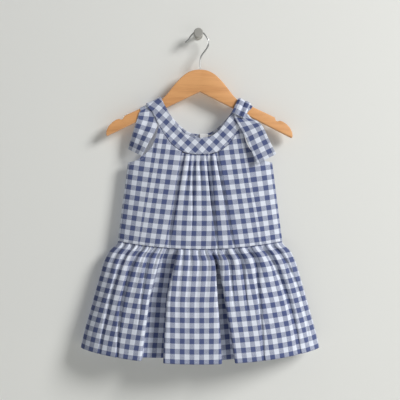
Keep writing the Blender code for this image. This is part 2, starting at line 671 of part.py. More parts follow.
def skirt_rows(side, seam, folds):
    """Rows of points of half of the skirt tier: gathered at the waist, with deeper folds at the hem.

    seam is the lowest row of the body panel, which the top of the skirt follows.
    """
    direction = -1.0 if side == "front" else 1.0
    seam = np.array(seam)

    rows = []
    for number, (share, half, front_y, back_y, side_y, strength) in enumerate(SKIRT_ROWS):
        middle_y = front_y if side == "front" else back_y
        cut = SKIRT_CUT - 2 * EDGE_CLOTH_SHARE * abs(middle_y - side_y)

        def gathers(u):
            return strength * puckers(2 * np.pi * SKIRT_GATHERS * u / cut)

        def valleys(u, flank):
            angle = np.zeros_like(u)
            for *places, narrow, wide, small, middling, large, left, right, tilt in folds:
                middle = smooth_value(share, FOLD_SHARES, places)
                size = smooth_value(share, FOLD_SHARES, (small, middling, large))
                floor = narrow + (wide - narrow) * share
                shape = (floor, flank * size, left, right, FOLD_RIDGE, FOLD_ROOT, tilt)
                angle += min(1.0, size / 0.12) * valley_angle(u, middle, *shape)
            return angle

        u, across, out = laid_row(cut, 2 * half, gathers, valleys)
        steps = 4 * SKIRT_GATHERS if number < FINE_SKIRT_ROWS else 2 * SKIRT_GATHERS
        columns = np.linspace(-cut / 2, cut / 2, steps + 1)
        x = np.interp(columns, u, across)
        near_side = np.clip((half - np.abs(x)) / 0.012, 0.0, 1.0)
        below = share * SKIRT_DROP_MIDDLE
        opened = max(0.0, below - FOLD_START)
        room = FOLD_ROOM * abs(middle_y - side_y) * pillow(x / half) + 0.0001
        inward = np.minimum(room, SEAM_PUCKER + 0.9 * opened)
        outward = min(0.012, SEAM_PUCKER + 0.5 * opened)
        fold = limited(np.interp(columns, u, out) * near_side, inward, outward)
        middle_z = WAIST_MIDDLE_Z - WAIST_GAP - below
        side_z = WAIST_SIDE_Z - WAIST_GAP - share * SKIRT_DROP_SIDE
        z = middle_z + (side_z - middle_z) * (x / half) ** 2 - HEM_LIFT * share * np.minimum(fold, 0.0)
        y = side_y + (middle_y - side_y) * pillow(x / half)
        place = x / half * WAIST_HALF_WIDTH
        swing = np.interp(place, seam[:, 0], seam[:, 1]) - body_y(place, waist_z(place), side)
        y = y + swing * max(0.0, 1.0 - 3.0 * share) + direction * fold
        y[0] = y[-1] = side_y + direction * SIDE_SEAM_GAP
        rows.append(list(zip(x, y, z)))
    return rows


# The shoulder ties and the label

def banded(stations, spacing, steps, gathers):
    """Rows across a band, through stations of (one edge, the other edge, depth of the gathers)."""
    table = np.array([[*np.add(a, b) / 2, *np.subtract(b, a), depth] for a, b, depth in stations])
    marks = lengths(table)
    places = [marks[-1]]
    for a, b in zip(marks, marks[1:]):
        places += list(np.linspace(a, b, max(1, round((b - a) / spacing)), endpoint=False))
    places = np.sort(places)
    fine = np.stack([smooth_value(places, marks, column) for column in table.T], axis=1)
    share = np.linspace(-0.5, 0.5, steps + 1)
    rows = []
    for number, station in enumerate(fine):
        along = fine[min(number + 1, len(fine) - 1), :3] - fine[max(number - 1, 0), :3]
        normal = np.cross(along, station[3:6])
        normal = normal / np.linalg.norm(normal)
        wave = station[6] * (1 - np.cos(2 * np.pi * gathers * (share + 0.5))) / 2
        rows.append([tuple(station[:3] + station[3:6] * s + normal * w) for s, w in zip(share, wave)])
    return rows


def arm_stations(hand, span, layer, front, back, depths):
    """Stations of a band where it goes over an arm, from the back to the front."""
    ends = [arm_frame(x, hand) for x in (span[0], span[1])[::hand]]
    stations = []
    for (up, y), depth in zip(over_the_arm(layer, front, back)[::-1], depths):
        places = [edge + up * rise for edge, rise in ends]
        stations.append((*((x, y, z) for x, z in places), depth))
    return stations


def left_tie(collection, hanging):
    """The left tie: from the back yoke over the arm, under the front strap, and down past the armhole."""
    stations = arm_stations(-1, LEFT_TIE_X, 0.0010, 0.0030, 0.0114, np.zeros(10))
    stations += [(edge[0:3], edge[3:6], edge[6]) for edge in LEFT_TIE_FRONT]
    rows = banded(stations, 0.0065, 8, 2)
    return cloth_wall(collection, "left_tie", rows, hanging, (0.0, -1.0, 0.0))


def right_knot(collection, hanging):
    """The bunched knot of the right tie, wrapped over the arm and the front strap."""
    stations = arm_stations(1, KNOT_X, 0.0034, 0.0060, 0.0120, KNOT_GATHERS)
    inner, outer, _ = stations[-1]
    for drop, back, depth in KNOT_BELOW:
        move = np.array([KNOT_WAY_DOWN[0] * drop, back, KNOT_WAY_DOWN[1] * drop])
        stations.append((np.add(inner, move), np.add(outer, move), depth))
    rows = banded(stations, 0.0060, 16, 2)
    return cloth_wall(collection, "right_knot", rows, hanging, (0.0, -1.0, 0.0))


def right_tie(collection, hanging):
    """The flat end of the right tie, from under the knot down over the strap and the armhole."""
    rows = banded([(edge[0:3], edge[3:6], 0.0) for edge in RIGHT_TIE_FRONT], 0.0120, 6, 1)
    return cloth_wall(collection, "right_tie", rows, hanging, (0.0, -1.0, 0.0))


def label(collection, hanging):
    """The blank woven label, sewn to the inside of the back yoke below its neck edge."""
    rows = []
    for z in np.linspace(*LABEL_Z, 4):
        x = np.linspace(*LABEL_X, 4)
        y = body_y(x, z, "back") - CLOTH - SEAM_GAP
        rows.append([(across, depth, z) for across, depth in zip(x, y)])
    return cloth_wall(collection, "label", rows, hanging, (0.0, -1.0, 0.0), "label")


def main():
    clear_scene()
    parts = new_collection("gingham dress")
    cutters = new_collection("cutters")
    cutters.hide_render = True
    hanging = bpy.data.objects.new("hanging", None)
    hanging.location = (MIDDLE_X, 0.0, 0.0)
    parts.objects.link(hanging)

    wall_peg(parts)
    hanger_hook(parts)
    hanger_wood(parts, cutters, hanging)
    front_yoke(parts, hanging)
    back_yoke(parts, hanging)
    left_tie(parts, hanging)
    right_knot(parts, hanging)
    right_tie(parts, hanging)
    label(parts, hanging)
    front = panel_rows("front", 0.0, FRONT_CREASES)
    back = panel_rows("back", BACK_NECK_RISE, BACK_CREASES)
    cloth_wall(parts, "front_panel", front, hanging, (0.0, -1.0, 0.0))
    cloth_wall(parts, "back_panel", back, hanging, (0.0, 1.0, 0.0))
    cloth_wall(parts, "skirt_front", skirt_rows("front", front[0], FRONT_FOLDS), hanging, (0.0, -1.0, 0.0))
    cloth_wall(parts, "skirt_back", skirt_rows("back", back[0], BACK_FOLDS), hanging, (0.0, 1.0, 0.0))


main()
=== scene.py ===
"""A child's gingham dress on a wooden hanger, hung from a wall peg. Metres, +Z up, front towards -Y."""

import math

import bmesh
import bpy
import numpy as np
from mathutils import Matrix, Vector


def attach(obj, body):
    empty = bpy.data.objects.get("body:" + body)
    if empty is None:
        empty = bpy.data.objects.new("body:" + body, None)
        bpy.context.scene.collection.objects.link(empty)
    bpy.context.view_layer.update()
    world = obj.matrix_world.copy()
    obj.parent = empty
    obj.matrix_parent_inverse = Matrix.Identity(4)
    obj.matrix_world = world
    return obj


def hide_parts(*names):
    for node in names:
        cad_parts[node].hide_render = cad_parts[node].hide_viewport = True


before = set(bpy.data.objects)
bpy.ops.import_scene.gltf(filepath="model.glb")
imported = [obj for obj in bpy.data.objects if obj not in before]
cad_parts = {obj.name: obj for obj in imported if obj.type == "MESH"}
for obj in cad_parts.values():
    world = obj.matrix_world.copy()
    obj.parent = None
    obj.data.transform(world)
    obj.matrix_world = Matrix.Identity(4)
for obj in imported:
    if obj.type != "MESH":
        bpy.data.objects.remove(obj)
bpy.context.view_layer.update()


# Wall peg
# A turned steel peg with a round head, screwed to the wall. The hook of the hanger hangs on its neck.
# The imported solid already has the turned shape, so it only gets its brushed finish.

PEG_COLOUR = (0.50, 0.49, 0.45)
PEG_METALLIC = 0.35
STEEL_ROUGHNESS = 0.30


def new_finish(name, colour, roughness):
    """A new material with its colour and roughness set: the material, its nodes, its links and the shader."""
    finish = bpy.data.materials.new(name)
    finish.use_nodes = True
    nodes = finish.node_tree.nodes
    shader = nodes["Principled BSDF"]
    shader.inputs["Base Color"].default_value = (*colour, 1.0)
    shader.inputs["Roughness"].default_value = roughness
    return finish, nodes, finish.node_tree.links, shader


def stretched_noise(nodes, links, places, scale, detail):
    """Noise with its own scale along each axis, as the output of its node."""
    stretch = nodes.new("ShaderNodeMapping")
    stretch.inputs["Scale"].default_value = scale
    links.new(places, stretch.inputs["Vector"])
    noise = nodes.new("ShaderNodeTexNoise")
    noise.inputs["Scale"].default_value = 1.0
    noise.inputs["Detail"].default_value = detail
    links.new(stretch.outputs["Vector"], noise.inputs["Vector"])
    return noise.outputs["Fac"]


def add_relief(nodes, links, shader, height, strength, depth):
    """Lays a fine relief on a finish, over any that it already has."""
    bump = nodes.new("ShaderNodeBump")
    bump.inputs["Strength"].default_value = strength
    bump.inputs["Distance"].default_value = depth
    links.new(height, bump.inputs["Height"])
    normal = shader.inputs["Normal"]
    if normal.is_linked:
        links.new(normal.links[0].from_socket, bump.inputs["Normal"])
    links.new(bump.outputs["Normal"], normal)


def drawn_steel(name, colour, metallic):
    """Drawn and polished steel: faint lines along the wire, and small changes in gloss."""
    finish, nodes, links, shader = new_finish(name, colour, STEEL_ROUGHNESS)
    shader.inputs["Metallic"].default_value = metallic
    places = nodes.new("ShaderNodeTexCoord").outputs["Object"]
    streaks = stretched_noise(nodes, links, places, (2500.0, 2500.0, 160.0), 3.0)
    gloss = nodes.new("ShaderNodeMapRange")
    gloss.inputs["To Min"].default_value = STEEL_ROUGHNESS - 0.08
    gloss.inputs["To Max"].default_value = STEEL_ROUGHNESS + 0.14
    links.new(streaks, gloss.inputs["Value"])
    links.new(gloss.outputs["Result"], shader.inputs["Roughness"])
    add_relief(nodes, links, shader, streaks, 0.15, 0.0001)
    return finish


peg_steel = drawn_steel("satin_steel", PEG_COLOUR, PEG_METALLIC)
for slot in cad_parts["wall_peg"].material_slots:
    slot.material = peg_steel


# Wire hook
# A bent steel wire that comes up out of the wood, goes round over the peg's neck and ends in a flared tip.
# Its foot is pressed into a drilled socket in the hanger.

WIRE_COLOUR = (0.52, 0.52, 0.50)
WIRE_RADIUS = 0.0015
PEG_NECK_RADIUS = 0.0032
HOOK_CLEARANCE = 0.0005
MIDDLE_X = 0.003
HANGER_Y = -0.020
HOOK_CROWN_Z = PEG_NECK_RADIUS + HOOK_CLEARANCE + WIRE_RADIUS
HOOK_ROUTE = (
    (MIDDLE_X, -0.0930), (MIDDLE_X, -0.0740), (MIDDLE_X, -0.0600), (MIDDLE_X, -0.0510), (0.0042, -0.0455),
    (0.0092, -0.0375), (0.0152, -0.0295), (0.0188, -0.0215), (0.0192, -0.0150), (0.0170, -0.0085),
    (0.0130, -0.0030), (0.0075, 0.0020), (0.0, HOOK_CROWN_Z), (-0.0075, 0.0020), (-0.0125, -0.0025),
    (-0.0165, -0.0075), (-0.0192, -0.0120), (-0.0222, -0.0155), (-0.0260, -0.0175),
)


def smooth_value(x, xs, ys):
    """The value at x of the smooth curve through a table whose xs rise. It doesn't overshoot the table."""
    xs = np.asarray(xs, float)
    ys = np.asarray(ys, float)
    steps = np.diff(ys) / np.diff(xs)
    most = 2.5 * np.minimum(np.abs(np.append(steps[0], steps)), np.abs(np.append(steps, steps[-1])))
    slopes = np.clip(np.gradient(ys, xs), -most, most)
    i = np.clip(np.searchsorted(xs, x) - 1, 0, len(xs) - 2)
    step = xs[i + 1] - xs[i]
    t = np.clip((x - xs[i]) / step, 0.0, 1.0)
    return (
        ys[i] * (1 + 2 * t) * (1 - t) ** 2
        + slopes[i] * step * t * (1 - t) ** 2
        + ys[i + 1] * t * t * (3 - 2 * t)
        + slopes[i + 1] * step * t * t * (t - 1)
    )


def lengths(points):
    """How far along a line each of its points is."""
    return np.concatenate([[0.0], np.cumsum(np.linalg.norm(np.diff(points, axis=0), axis=1))])


def spaced_points(points, shares):
    """Points of the smooth curve through some points, at these shares of its length."""
    points = np.array(points, float)
    along = lengths(points)
    fine = np.linspace(0.0, along[-1], 40 * len(points))
    curve = np.stack([smooth_value(fine, along, axis) for axis in points.T], axis=1)
    length = lengths(curve)
    wanted = np.asarray(shares) * length[-1]
    return np.stack([np.interp(wanted, length, axis) for axis in curve.T], axis=1)


def finished(obj, name):
    """The object as its modifiers leave it, as a plain mesh with its place in the mesh."""
    bpy.context.scene.collection.objects.link(obj)
    bpy.context.view_layer.update()
    ready = obj.evaluated_get(bpy.context.evaluated_depsgraph_get())
    mesh = bpy.data.meshes.new_from_object(ready)
    mesh.transform(obj.matrix_world)
    bpy.data.objects.remove(obj)
    made = bpy.data.objects.new(name, mesh)
    bpy.context.scene.collection.objects.link(made)
    return made


def bent_wire(name, route, radius, points):
    """A round wire along a smooth route in the plane of the hanger."""
    curve = bpy.data.curves.new(name, "CURVE")
    curve.dimensions = "3D"
    curve.bevel_depth = radius
    curve.bevel_resolution = 4
    curve.use_fill_caps = True
    spline = curve.splines.new("POLY")
    spline.points.add(points - 1)
    for point, (x, z) in zip(spline.points, spaced_points(route, np.linspace(0.0, 1.0, points))):
        point.co = (x, HANGER_Y, z, 1.0)
    wire = finished(bpy.data.objects.new(name, curve), name)
    shape = bmesh.new()
    shape.from_mesh(wire.data)
    bmesh.ops.remove_doubles(shape, verts=shape.verts, dist=0.00002)
    bmesh.ops.recalc_face_normals(shape, faces=shape.faces)
    shape.to_mesh(wire.data)
    shape.free()
    wire.data.shade_smooth()
    return wire


hook = bent_wire("wire_hook", HOOK_ROUTE, WIRE_RADIUS, 150)
hook.data.materials.clear()
hook.data.materials.append(drawn_steel("brushed_steel", WIRE_COLOUR, 1.0))
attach(hook, "root")
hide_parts("hanger_hook")


# Wooden hanger
# A flat child's hanger sawn from one pale board, with a notch and a raised end on each arm. Its edges are
# rounded over and it has a thin satin varnish.

WOOD_COLOUR = (0.78, 0.395, 0.158)
WOOD_DARK = (0.60, 0.262, 0.092)
HANGER_THICKNESS = 0.012
HANGER_EDGE_ROUND = 0.0017
HANGER_TOP_Z = -0.0695
HANGER_APEX_Z = -0.1115
HANGER_TIP_Z = -0.1985
HANGER_HALF_WIDTH = 0.178
HANGER_TILT = 0.0117
SOCKET_RADIUS = WIRE_RADIUS + 0.0006
SOCKET_DEPTH = 0.025
ARM_INNER = (0.0713, -0.1262)
ARM_OUTER = (0.1435, -0.1592)
CROWN_EDGE = (
    (0.0, HANGER_TOP_Z), (0.014, -0.0715), (0.028, -0.0785), (0.0410, -0.0905), (0.0560, -0.1085),
    (0.0640, -0.1187), ARM_INNER,
)
NOTCH_EDGE = (
    ARM_OUTER, (0.1458, -0.1655), (0.1490, -0.1670), (0.1530, -0.1655), (0.1587, -0.1670), (0.1660, -0.1717),
    (0.1730, -0.1790), (0.1772, -0.1875), (HANGER_HALF_WIDTH, -0.1945),
    (HANGER_HALF_WIDTH - 0.001, HANGER_TIP_Z),
)


def feed(links, socket, value):
    """Sets an input, or links it to the output that it follows."""
    if isinstance(value, bpy.types.NodeSocket):
        links.new(value, socket)
    else:
        socket.default_value = value


def mixed(nodes, links, kind, factor, first, second):
    """The mix of two numbers (FLOAT) or colours (RGBA), as the output of its node."""
    mix = nodes.new("ShaderNodeMix")
    mix.data_type = kind
    for socket, value in (("Factor", factor), ("A", first), ("B", second)):
        feed(links, mix.inputs[socket], value)
    return mix.outputs["Result"]


def varnished_wood():
    """Pale wood with a fine straight grain along the arms, a few darker growth lines, and a satin varnish."""
    finish, nodes, links, shader = new_finish("varnished_wood", WOOD_COLOUR, 0.42)
    shader.inputs["Coat Weight"].default_value = 0.12
    shader.inputs["Coat Roughness"].default_value = 0.25
    places = nodes.new("ShaderNodeTexCoord").outputs["Object"]
    growth = stretched_noise(nodes, links, places, (7.0, 90.0, 120.0), 3.0)
    fibres = stretched_noise(nodes, links, places, (60.0, 900.0, 1400.0), 4.0)
    ramp = nodes.new("ShaderNodeValToRGB")
    ramp.color_ramp.elements[0].position = 0.25
    ramp.color_ramp.elements[0].color = (*WOOD_DARK, 1.0)
    ramp.color_ramp.elements[1].position = 0.56
    ramp.color_ramp.elements[1].color = (*WOOD_COLOUR, 1.0)
    links.new(mixed(nodes, links, "FLOAT", 0.35, growth, fibres), ramp.inputs["Fac"])
    links.new(ramp.outputs["Color"], shader.inputs["Base Color"])
    add_relief(nodes, links, shader, fibres, 0.25, 0.0002)
    return finish


def hanger_board():
    """Half of the outline sawn from the board, mirrored, rounded over, and drilled for the hook."""
    half = [tuple(point) for point in spaced_points(CROWN_EDGE, np.linspace(0.0, 1.0, 25))]
    half += list(NOTCH_EDGE) + [(0.0, HANGER_APEX_Z)]
    mesh = bpy.data.meshes.new("hanger")
    shape = bmesh.new()
    front = HANGER_Y - HANGER_THICKNESS / 2
    face = shape.faces.new([shape.verts.new((x, front, z)) for x, z in half])
    grown = bmesh.ops.extrude_face_region(shape, geom=[face])
    moved = [item for item in grown["geom"] if isinstance(item, bmesh.types.BMVert)]
    bmesh.ops.translate(shape, verts=moved, vec=(0.0, HANGER_THICKNESS, 0.0))
    middle = [f for f in shape.faces if all(abs(v.co.x) < 1e-6 for v in f.verts)]
    bmesh.ops.delete(shape, geom=middle, context="FACES_ONLY")
    bmesh.ops.recalc_face_normals(shape, faces=shape.faces)
    shape.to_mesh(mesh)
    shape.free()
    board = bpy.data.objects.new("hanger_board", mesh)
    board.location = (MIDDLE_X - HANGER_TOP_Z * math.sin(HANGER_TILT), 0.0, 0.0)
    board.rotation_euler = (0.0, HANGER_TILT, 0.0)
    mirror = board.modifiers.new("Other half", "MIRROR")
    mirror.use_axis = (True, False, False)
    mirror.merge_threshold = 0.00005
    rounding = board.modifiers.new("Rounded edges", "BEVEL")
    rounding.width = HANGER_EDGE_ROUND
    rounding.segments = 5
    rounding.limit_method = "ANGLE"
    rounding.angle_limit = math.radians(50.0)
    rounding.harden_normals = True

    bpy.ops.mesh.primitive_cylinder_add(
        vertices=32, radius=SOCKET_RADIUS, depth=2 * SOCKET_DEPTH,
        location=(MIDDLE_X, HANGER_Y, HANGER_TOP_Z),
    )
    drill = bpy.context.object
    socket = board.modifiers.new("Socket", "BOOLEAN")
    socket.operation = "DIFFERENCE"
    socket.object = drill
    mesh.shade_smooth()
    made = finished(board, "wooden_hanger")
    bpy.data.objects.remove(drill)
    made.data.set_sharp_from_angle(angle=math.radians(35.0))
    return made


hanger = hanger_board()
hanger.data.materials.clear()
hanger.data.materials.append(varnished_wood())
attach(hanger, "root")
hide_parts("hanger_wood")


# Front yoke
# One U-shaped band of yarn-dyed cotton gingham, cut on the bias, that goes round the front of the neck and
# up into two straps, which pass over the hanger's arms. Its neck edge is turned in and stitched.

GINGHAM_REPEAT = 0.019
YARN = 0.00055
CLOTH = 0.0008
BLUE_YARN = (0.088, 0.112, 0.242)
WHITE_YARN = (0.765, 0.805, 0.895)
# How much of the blue shows through the white yarns that cross a blue stripe
SHOW_THROUGH = 0.15
STITCH_LENGTH = 0.0024
STITCH_PITCH = 0.0031
THREAD_WIDTH = 0.00042
THREAD_COLOUR = (0.74, 0.77, 0.83)
EDGE_INSET = 0.0020
SIDES = ("left", "right")
NECK_Z = -0.2005
YOKE_Z = -0.2320
SIDE_SEAM_Y = -0.021
SECTION_FLATNESS = 2.4
SECTION_EDGE = 0.64
BIAS = math.radians(-46.5)
STRAP_X = (0.0725, 0.1005)
TO_ROOM = (0, -1, 0)
TO_WALL = (0, 1, 0)
YOKE_LINES = 15
CHECK_OFFSET = (0.0015, 0.0076)
# Depths of the front and the back of the body, by height: (z, y at the front, y at the back)
BODY_DEPTHS = np.array([
    (-0.420, -0.0440, -0.0072),
    (-0.360, -0.0410, -0.0080),
    (-0.300, -0.0375, -0.0088),
    (-0.231, -0.0335, -0.0100),
    (-0.200, -0.0315, -0.0108),
    (-0.170, -0.0298, -0.0116),
    (-0.126, -0.0288, -0.0120),
])
# Half of the body's width, by height. Above the underarm it is the width that the armhole cuts away.
BODY_WIDTHS = np.array([
    (-0.420, 0.1590),
    (-0.397, 0.1568),
    (-0.247, 0.1374),
    (-0.235, 0.1500),
    (-0.200, 0.1950),
    (-0.120, 0.3000),
])
# Edges of the yoke, from the middle outwards and up to the hanger: (x, z)
NECK_EDGE = (
    (0.0, NECK_Z), (0.0150, -0.1988), (0.0272, -0.1935), (0.0370, -0.1843), (0.0458, -0.1733),
    (0.0548, -0.1600), (0.0640, -0.1440), (0.0716, -0.1300),
)
YOKE_EDGE = (
    (0.0, YOKE_Z), (0.0190, -0.2308), (0.0357, -0.2255), (0.0510, -0.2150), (0.0660, -0.1965),
    (0.0790, -0.1745), (0.0900, -0.1530), (0.0985, -0.1410),
)


def gingham_cotton():
    """Yarn-dyed cotton. Blue and white stripes of warp cross the same stripes of weft in a plain weave.

    The piece's own UV map measures the cut cloth in metres.
    """
    finish, nodes, links, shader = new_finish("gingham_cotton", WHITE_YARN, 0.88)
    shader.inputs["Sheen Weight"].default_value = 0.10
    shader.inputs["Sheen Roughness"].default_value = 0.45
    shader.inputs["Specular IOR Level"].default_value = 0.25
    cut = nodes.new("ShaderNodeUVMap")
    cut.uv_map = "cloth"
    parts = nodes.new("ShaderNodeSeparateXYZ")
    links.new(cut.outputs["UV"], parts.inputs["Vector"])

    def maths(operation, *values):
        node = nodes.new("ShaderNodeMath")
        node.operation = operation
        for socket, value in zip(node.inputs, values):
            feed(links, socket, value)
        return node.outputs["Value"]

    def slubs(scale, detail):
        return stretched_noise(nodes, links, cut.outputs["UV"], scale, detail)

    def stripes(across, uneven):
        """1 in the blue stripes and 0 in the white ones, with edges as uneven as a single yarn."""
        wander = maths("MULTIPLY", maths("SUBTRACT", uneven, 0.5), 0.0006)
        turn = maths("PINGPONG", maths("DIVIDE", maths("ADD", across, wander), GINGHAM_REPEAT), 0.5)
        edge = nodes.new("ShaderNodeMapRange")
        edge.interpolation_type = "SMOOTHSTEP"
        edge.inputs["From Min"].default_value = 0.237
        edge.inputs["From Max"].default_value = 0.263
        links.new(turn, edge.inputs["Value"])
        return edge.outputs["Result"]

    def dyed(stripe, streak):
        """The colour of one set of yarns: blue or white, a little lighter or darker from yarn to yarn."""
        colour = mixed(nodes, links, "RGBA", stripe, (*WHITE_YARN, 1.0), (*BLUE_YARN, 1.0))
        shade = nodes.new("ShaderNodeHueSaturation")
        links.new(maths("ADD", maths("MULTIPLY", streak, 0.16), 0.92), shade.inputs["Value"])
        links.new(colour, shade.inputs["Color"])
        return shade.outputs["Color"]

    def rounded(across):
        """How far each yarn stands out, from its edges to its middle."""
        return maths("ABSOLUTE", maths("SINE", maths("MULTIPLY", across, math.pi / YARN)))

    warp_streak = slubs((1900.0, 45.0, 1.0), 2.0)
    weft_streak = slubs((45.0, 1900.0, 1.0), 2.0)
    warp_blue = stripes(parts.outputs["X"], weft_streak)
    weft_blue = stripes(parts.outputs["Y"], warp_streak)
    warp = dyed(maths("MAXIMUM", warp_blue, maths("MULTIPLY", weft_blue, SHOW_THROUGH)), warp_streak)
    weft = dyed(maths("MAXIMUM", weft_blue, maths("MULTIPLY", warp_blue, SHOW_THROUGH)), weft_streak)
    over = nodes.new("ShaderNodeTexChecker")
    over.inputs["Scale"].default_value = 1.0 / YARN
    over.inputs["Color1"].default_value = (1.0, 1.0, 1.0, 1.0)
    over.inputs["Color2"].default_value = (0.0, 0.0, 0.0, 1.0)
    links.new(cut.outputs["UV"], over.inputs["Vector"])
    shown = maths("ADD", maths("MULTIPLY", over.outputs["Fac"], 0.34), 0.33)
    links.new(mixed(nodes, links, "RGBA", shown, warp, weft), shader.inputs["Base Color"])
    warp_round, weft_round = rounded(parts.outputs["X"]), rounded(parts.outputs["Y"])
    crossings = mixed(nodes, links, "FLOAT", over.outputs["Fac"], warp_round, weft_round)
    add_relief(nodes, links, shader, crossings, 0.55, 0.00012)
    add_relief(nodes, links, shader, slubs((110.0, 60.0, 1.0), 3.0), 0.35, 0.0012)
    return finish


gingham = gingham_cotton()


def pillow(share):
    """How far the section stands out at a share of its half-width, from 1 in the middle to 0 at the side."""
    return (1.0 - np.clip(np.abs(share), 0.0, 1.0) ** SECTION_FLATNESS) ** SECTION_EDGE


def body_y(x, z, side):
    """The depth of the smooth body at a point of the front view: side is 'front' or 'back'."""
    middle = smooth_value(z, BODY_DEPTHS[:, 0], BODY_DEPTHS[:, 1 if side == "front" else 2])
    half = np.interp(z, BODY_WIDTHS[:, 0], BODY_WIDTHS[:, 1])
    return SIDE_SEAM_Y + (middle - SIDE_SEAM_Y) * pillow(x / half)


def raised(points, rise):
    """The points of an edge in the front view, raised near the neck and not at the shoulders."""
    points = np.array(points, float)
    points[:, 1] += rise * np.clip((-0.150 - points[:, 1]) / 0.040, 0.0, 1.0)
    return points


def over_the_arm(layer, front, back):
    """A band's way over the arm, seen from its end, as points of (up from the arm's top edge, y)."""
    reach = HANGER_THICKNESS / 2 + layer
    radius = layer + 0.0015
    corner = [(layer - radius + radius * math.sin(a), reach - radius + radius * math.cos(a))
              for a in np.linspace(0.0, math.pi / 2, 4)]
    path = [(-front, -reach)] + [(up, -y) for up, y in corner] + corner[::-1] + [(-back, reach)]
    return [(up, HANGER_Y + y) for up, y in path]


def arm_frame(x, hand):
    """A point of an arm's top edge, and the way up from it. hand is 1 for the right arm, -1 for the left."""
    slope = (ARM_OUTER[1] - ARM_INNER[1]) / (ARM_OUTER[0] - ARM_INNER[0])
    ends = []
    for far in (x, x + 0.01):
        flat_x, flat_z = hand * far, ARM_INNER[1] + slope * (far - ARM_INNER[0])
        below = flat_z - HANGER_TOP_Z
        ends.append(np.array([
            flat_x * math.cos(HANGER_TILT) + below * math.sin(HANGER_TILT),
            flat_z - flat_x * math.sin(HANGER_TILT),
        ]))
    along = (ends[1] - ends[0]) / 0.01
    return ends[0], np.array([-along[1], along[0]]) * hand


def wrap_lines(hand, span, layer, front, back, steps=3):
    """Lines across a band where it goes over an arm, from the front to the back."""
    lines = []
    for up, y in over_the_arm(layer, front, back):
        places = [arm_frame(x, hand) for x in np.linspace(*span, steps + 1)]
        lines.append([((edge + up * rise)[0], y, (edge + up * rise)[1]) for edge, rise in places])
    return lines


def yoke_half(side, rise, hand):
    """Lines across half of a yoke, from the middle up to the hanger, each from the neck outwards."""
    shares = np.linspace(0.0, 1.0, YOKE_LINES)
    neck = raised(spaced_points(NECK_EDGE, shares), rise)
    outer = raised(spaced_points(YOKE_EDGE, shares), rise)
    lines = []
    for a, b in zip(neck, outer):
        points = a + np.outer(np.linspace(0.0, 1.0, 4), b - a)
        y = body_y(points[:, 0], points[:, 1], side)
        lines.append([(hand * x, depth, z) for (x, z), depth in zip(points, y)])
    return lines


def row_places(grid, axis):
    """How far the rows (axis 0) or columns (axis 1) of a grid lie from the first one, on average."""
    steps = np.linalg.norm(np.diff(grid, axis=axis), axis=-1).mean(axis=1 - axis)
    return np.concatenate([[0.0], np.cumsum(steps)])


def column_places(grid):
    """How far down its own column each point of a grid lies."""
    steps = np.linalg.norm(np.diff(grid, axis=0), axis=-1)
    return np.concatenate([np.zeros((1, grid.shape[1])), np.cumsum(steps, axis=0)])


def refined(lines, along, across):
    """A fine grid through a piece's main lines: that many steps along it and across it."""
    grid = np.array(lines, float)
    for axis, count in ((0, along), (1, across)):
        grid = np.moveaxis(grid, axis, 0)
        marks = row_places(grid[..., :3], 0)
        places = np.linspace(0.0, marks[-1], count + 1)
        columns = grid.reshape(len(marks), -1).T
        fine = np.stack([smooth_value(places, marks, column) for column in columns], axis=1)
        grid = np.moveaxis(fine.reshape(count + 1, *grid.shape[1:]), 0, axis)
    return grid


def surface_normals(grid, outward):
    """The unit normals of a grid of points, on the side that outward points to."""
    normal = np.cross(np.gradient(grid, axis=0), np.gradient(grid, axis=1))
    normal /= np.maximum(np.linalg.norm(normal, axis=-1, keepdims=True), 1e-12)
    if (normal.reshape(-1, 3) @ np.array(outward, float)).sum() < 0:
        normal = -normal
    return normal


def crumpled(grid, outward, depth, seed, spread=(0.030, 0.012)):
    """The grid with soft uneven swells, longer along the cloth than across it, as worn-in cotton has."""
    chance = np.random.default_rng(seed)
    down, right = row_places(grid, 0), row_places(grid, 1)
    swell = np.zeros(grid.shape[:2])
    for _ in range(max(8, int(down[-1] * right[-1] / (3.0 * spread[0] * spread[1])))):
        v, u = chance.uniform(0.0, down[-1]), chance.uniform(0.0, right[-1])
        long, wide = spread[0] * chance.uniform(0.5, 1.6), spread[1] * chance.uniform(0.5, 1.6)
        lean = chance.uniform(-0.4, 0.4)
        dv = (down[:, None] - v) / long
        du = (right[None, :] - u - lean * (down[:, None] - v)) / wide
        swell += chance.uniform(-1.0, 1.0) * np.exp(-dv ** 2 - du ** 2)
    return grid + surface_normals(grid, outward) * (swell * depth)[..., None]


def cloth_piece(name, stands_for, grid, cut, thickness=CLOTH, finish=gingham):
    """A wall of cloth on a grid of points, in the place of the solid that it stands for.

    cut gives each point's place on the flat cloth, for the weave.
    """
    rows, columns = grid.shape[:2]
    points = grid.reshape(-1, 3) + np.array([MIDDLE_X, 0.0, 0.0])
    number = np.arange(rows * columns).reshape(rows, columns)
    corners = number[:-1, :-1], number[1:, :-1], number[1:, 1:], number[:-1, 1:]
    faces = np.stack(corners, axis=-1).reshape(-1, 4)
    mesh = bpy.data.meshes.new(name)
    mesh.from_pydata(points.tolist(), [], faces.tolist())
    layer = mesh.uv_layers.new(name="cloth")
    layer.data.foreach_set("uv", cut.reshape(-1, 2)[faces.reshape(-1)].astype(np.float32).ravel())
    mesh.shade_smooth()
    mesh.materials.append(finish)
    piece = bpy.data.objects.new(name, mesh)
    bpy.context.scene.collection.objects.link(piece)
    wall = piece.modifiers.new("Wall", "SOLIDIFY")
    wall.thickness = thickness
    wall.offset = 0.0
    wall.use_even_offset = False
    wall.use_quality_normals = True
    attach(piece, "root")
    if stands_for:
        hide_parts(stands_for)
    return piece


def painted_groove_shade(nodes, links, shader, pattern, colour, darkest):
    """Colours a finish with painted shade in its grooves: that share of the colour where its pattern is
    lowest.
    """
    dark = [value * darkest for value in colour]
    tone = mixed(nodes, links, "RGBA", pattern, (*dark, 1.0), (*colour, 1.0))
    links.new(tone, shader.inputs["Base Color"])


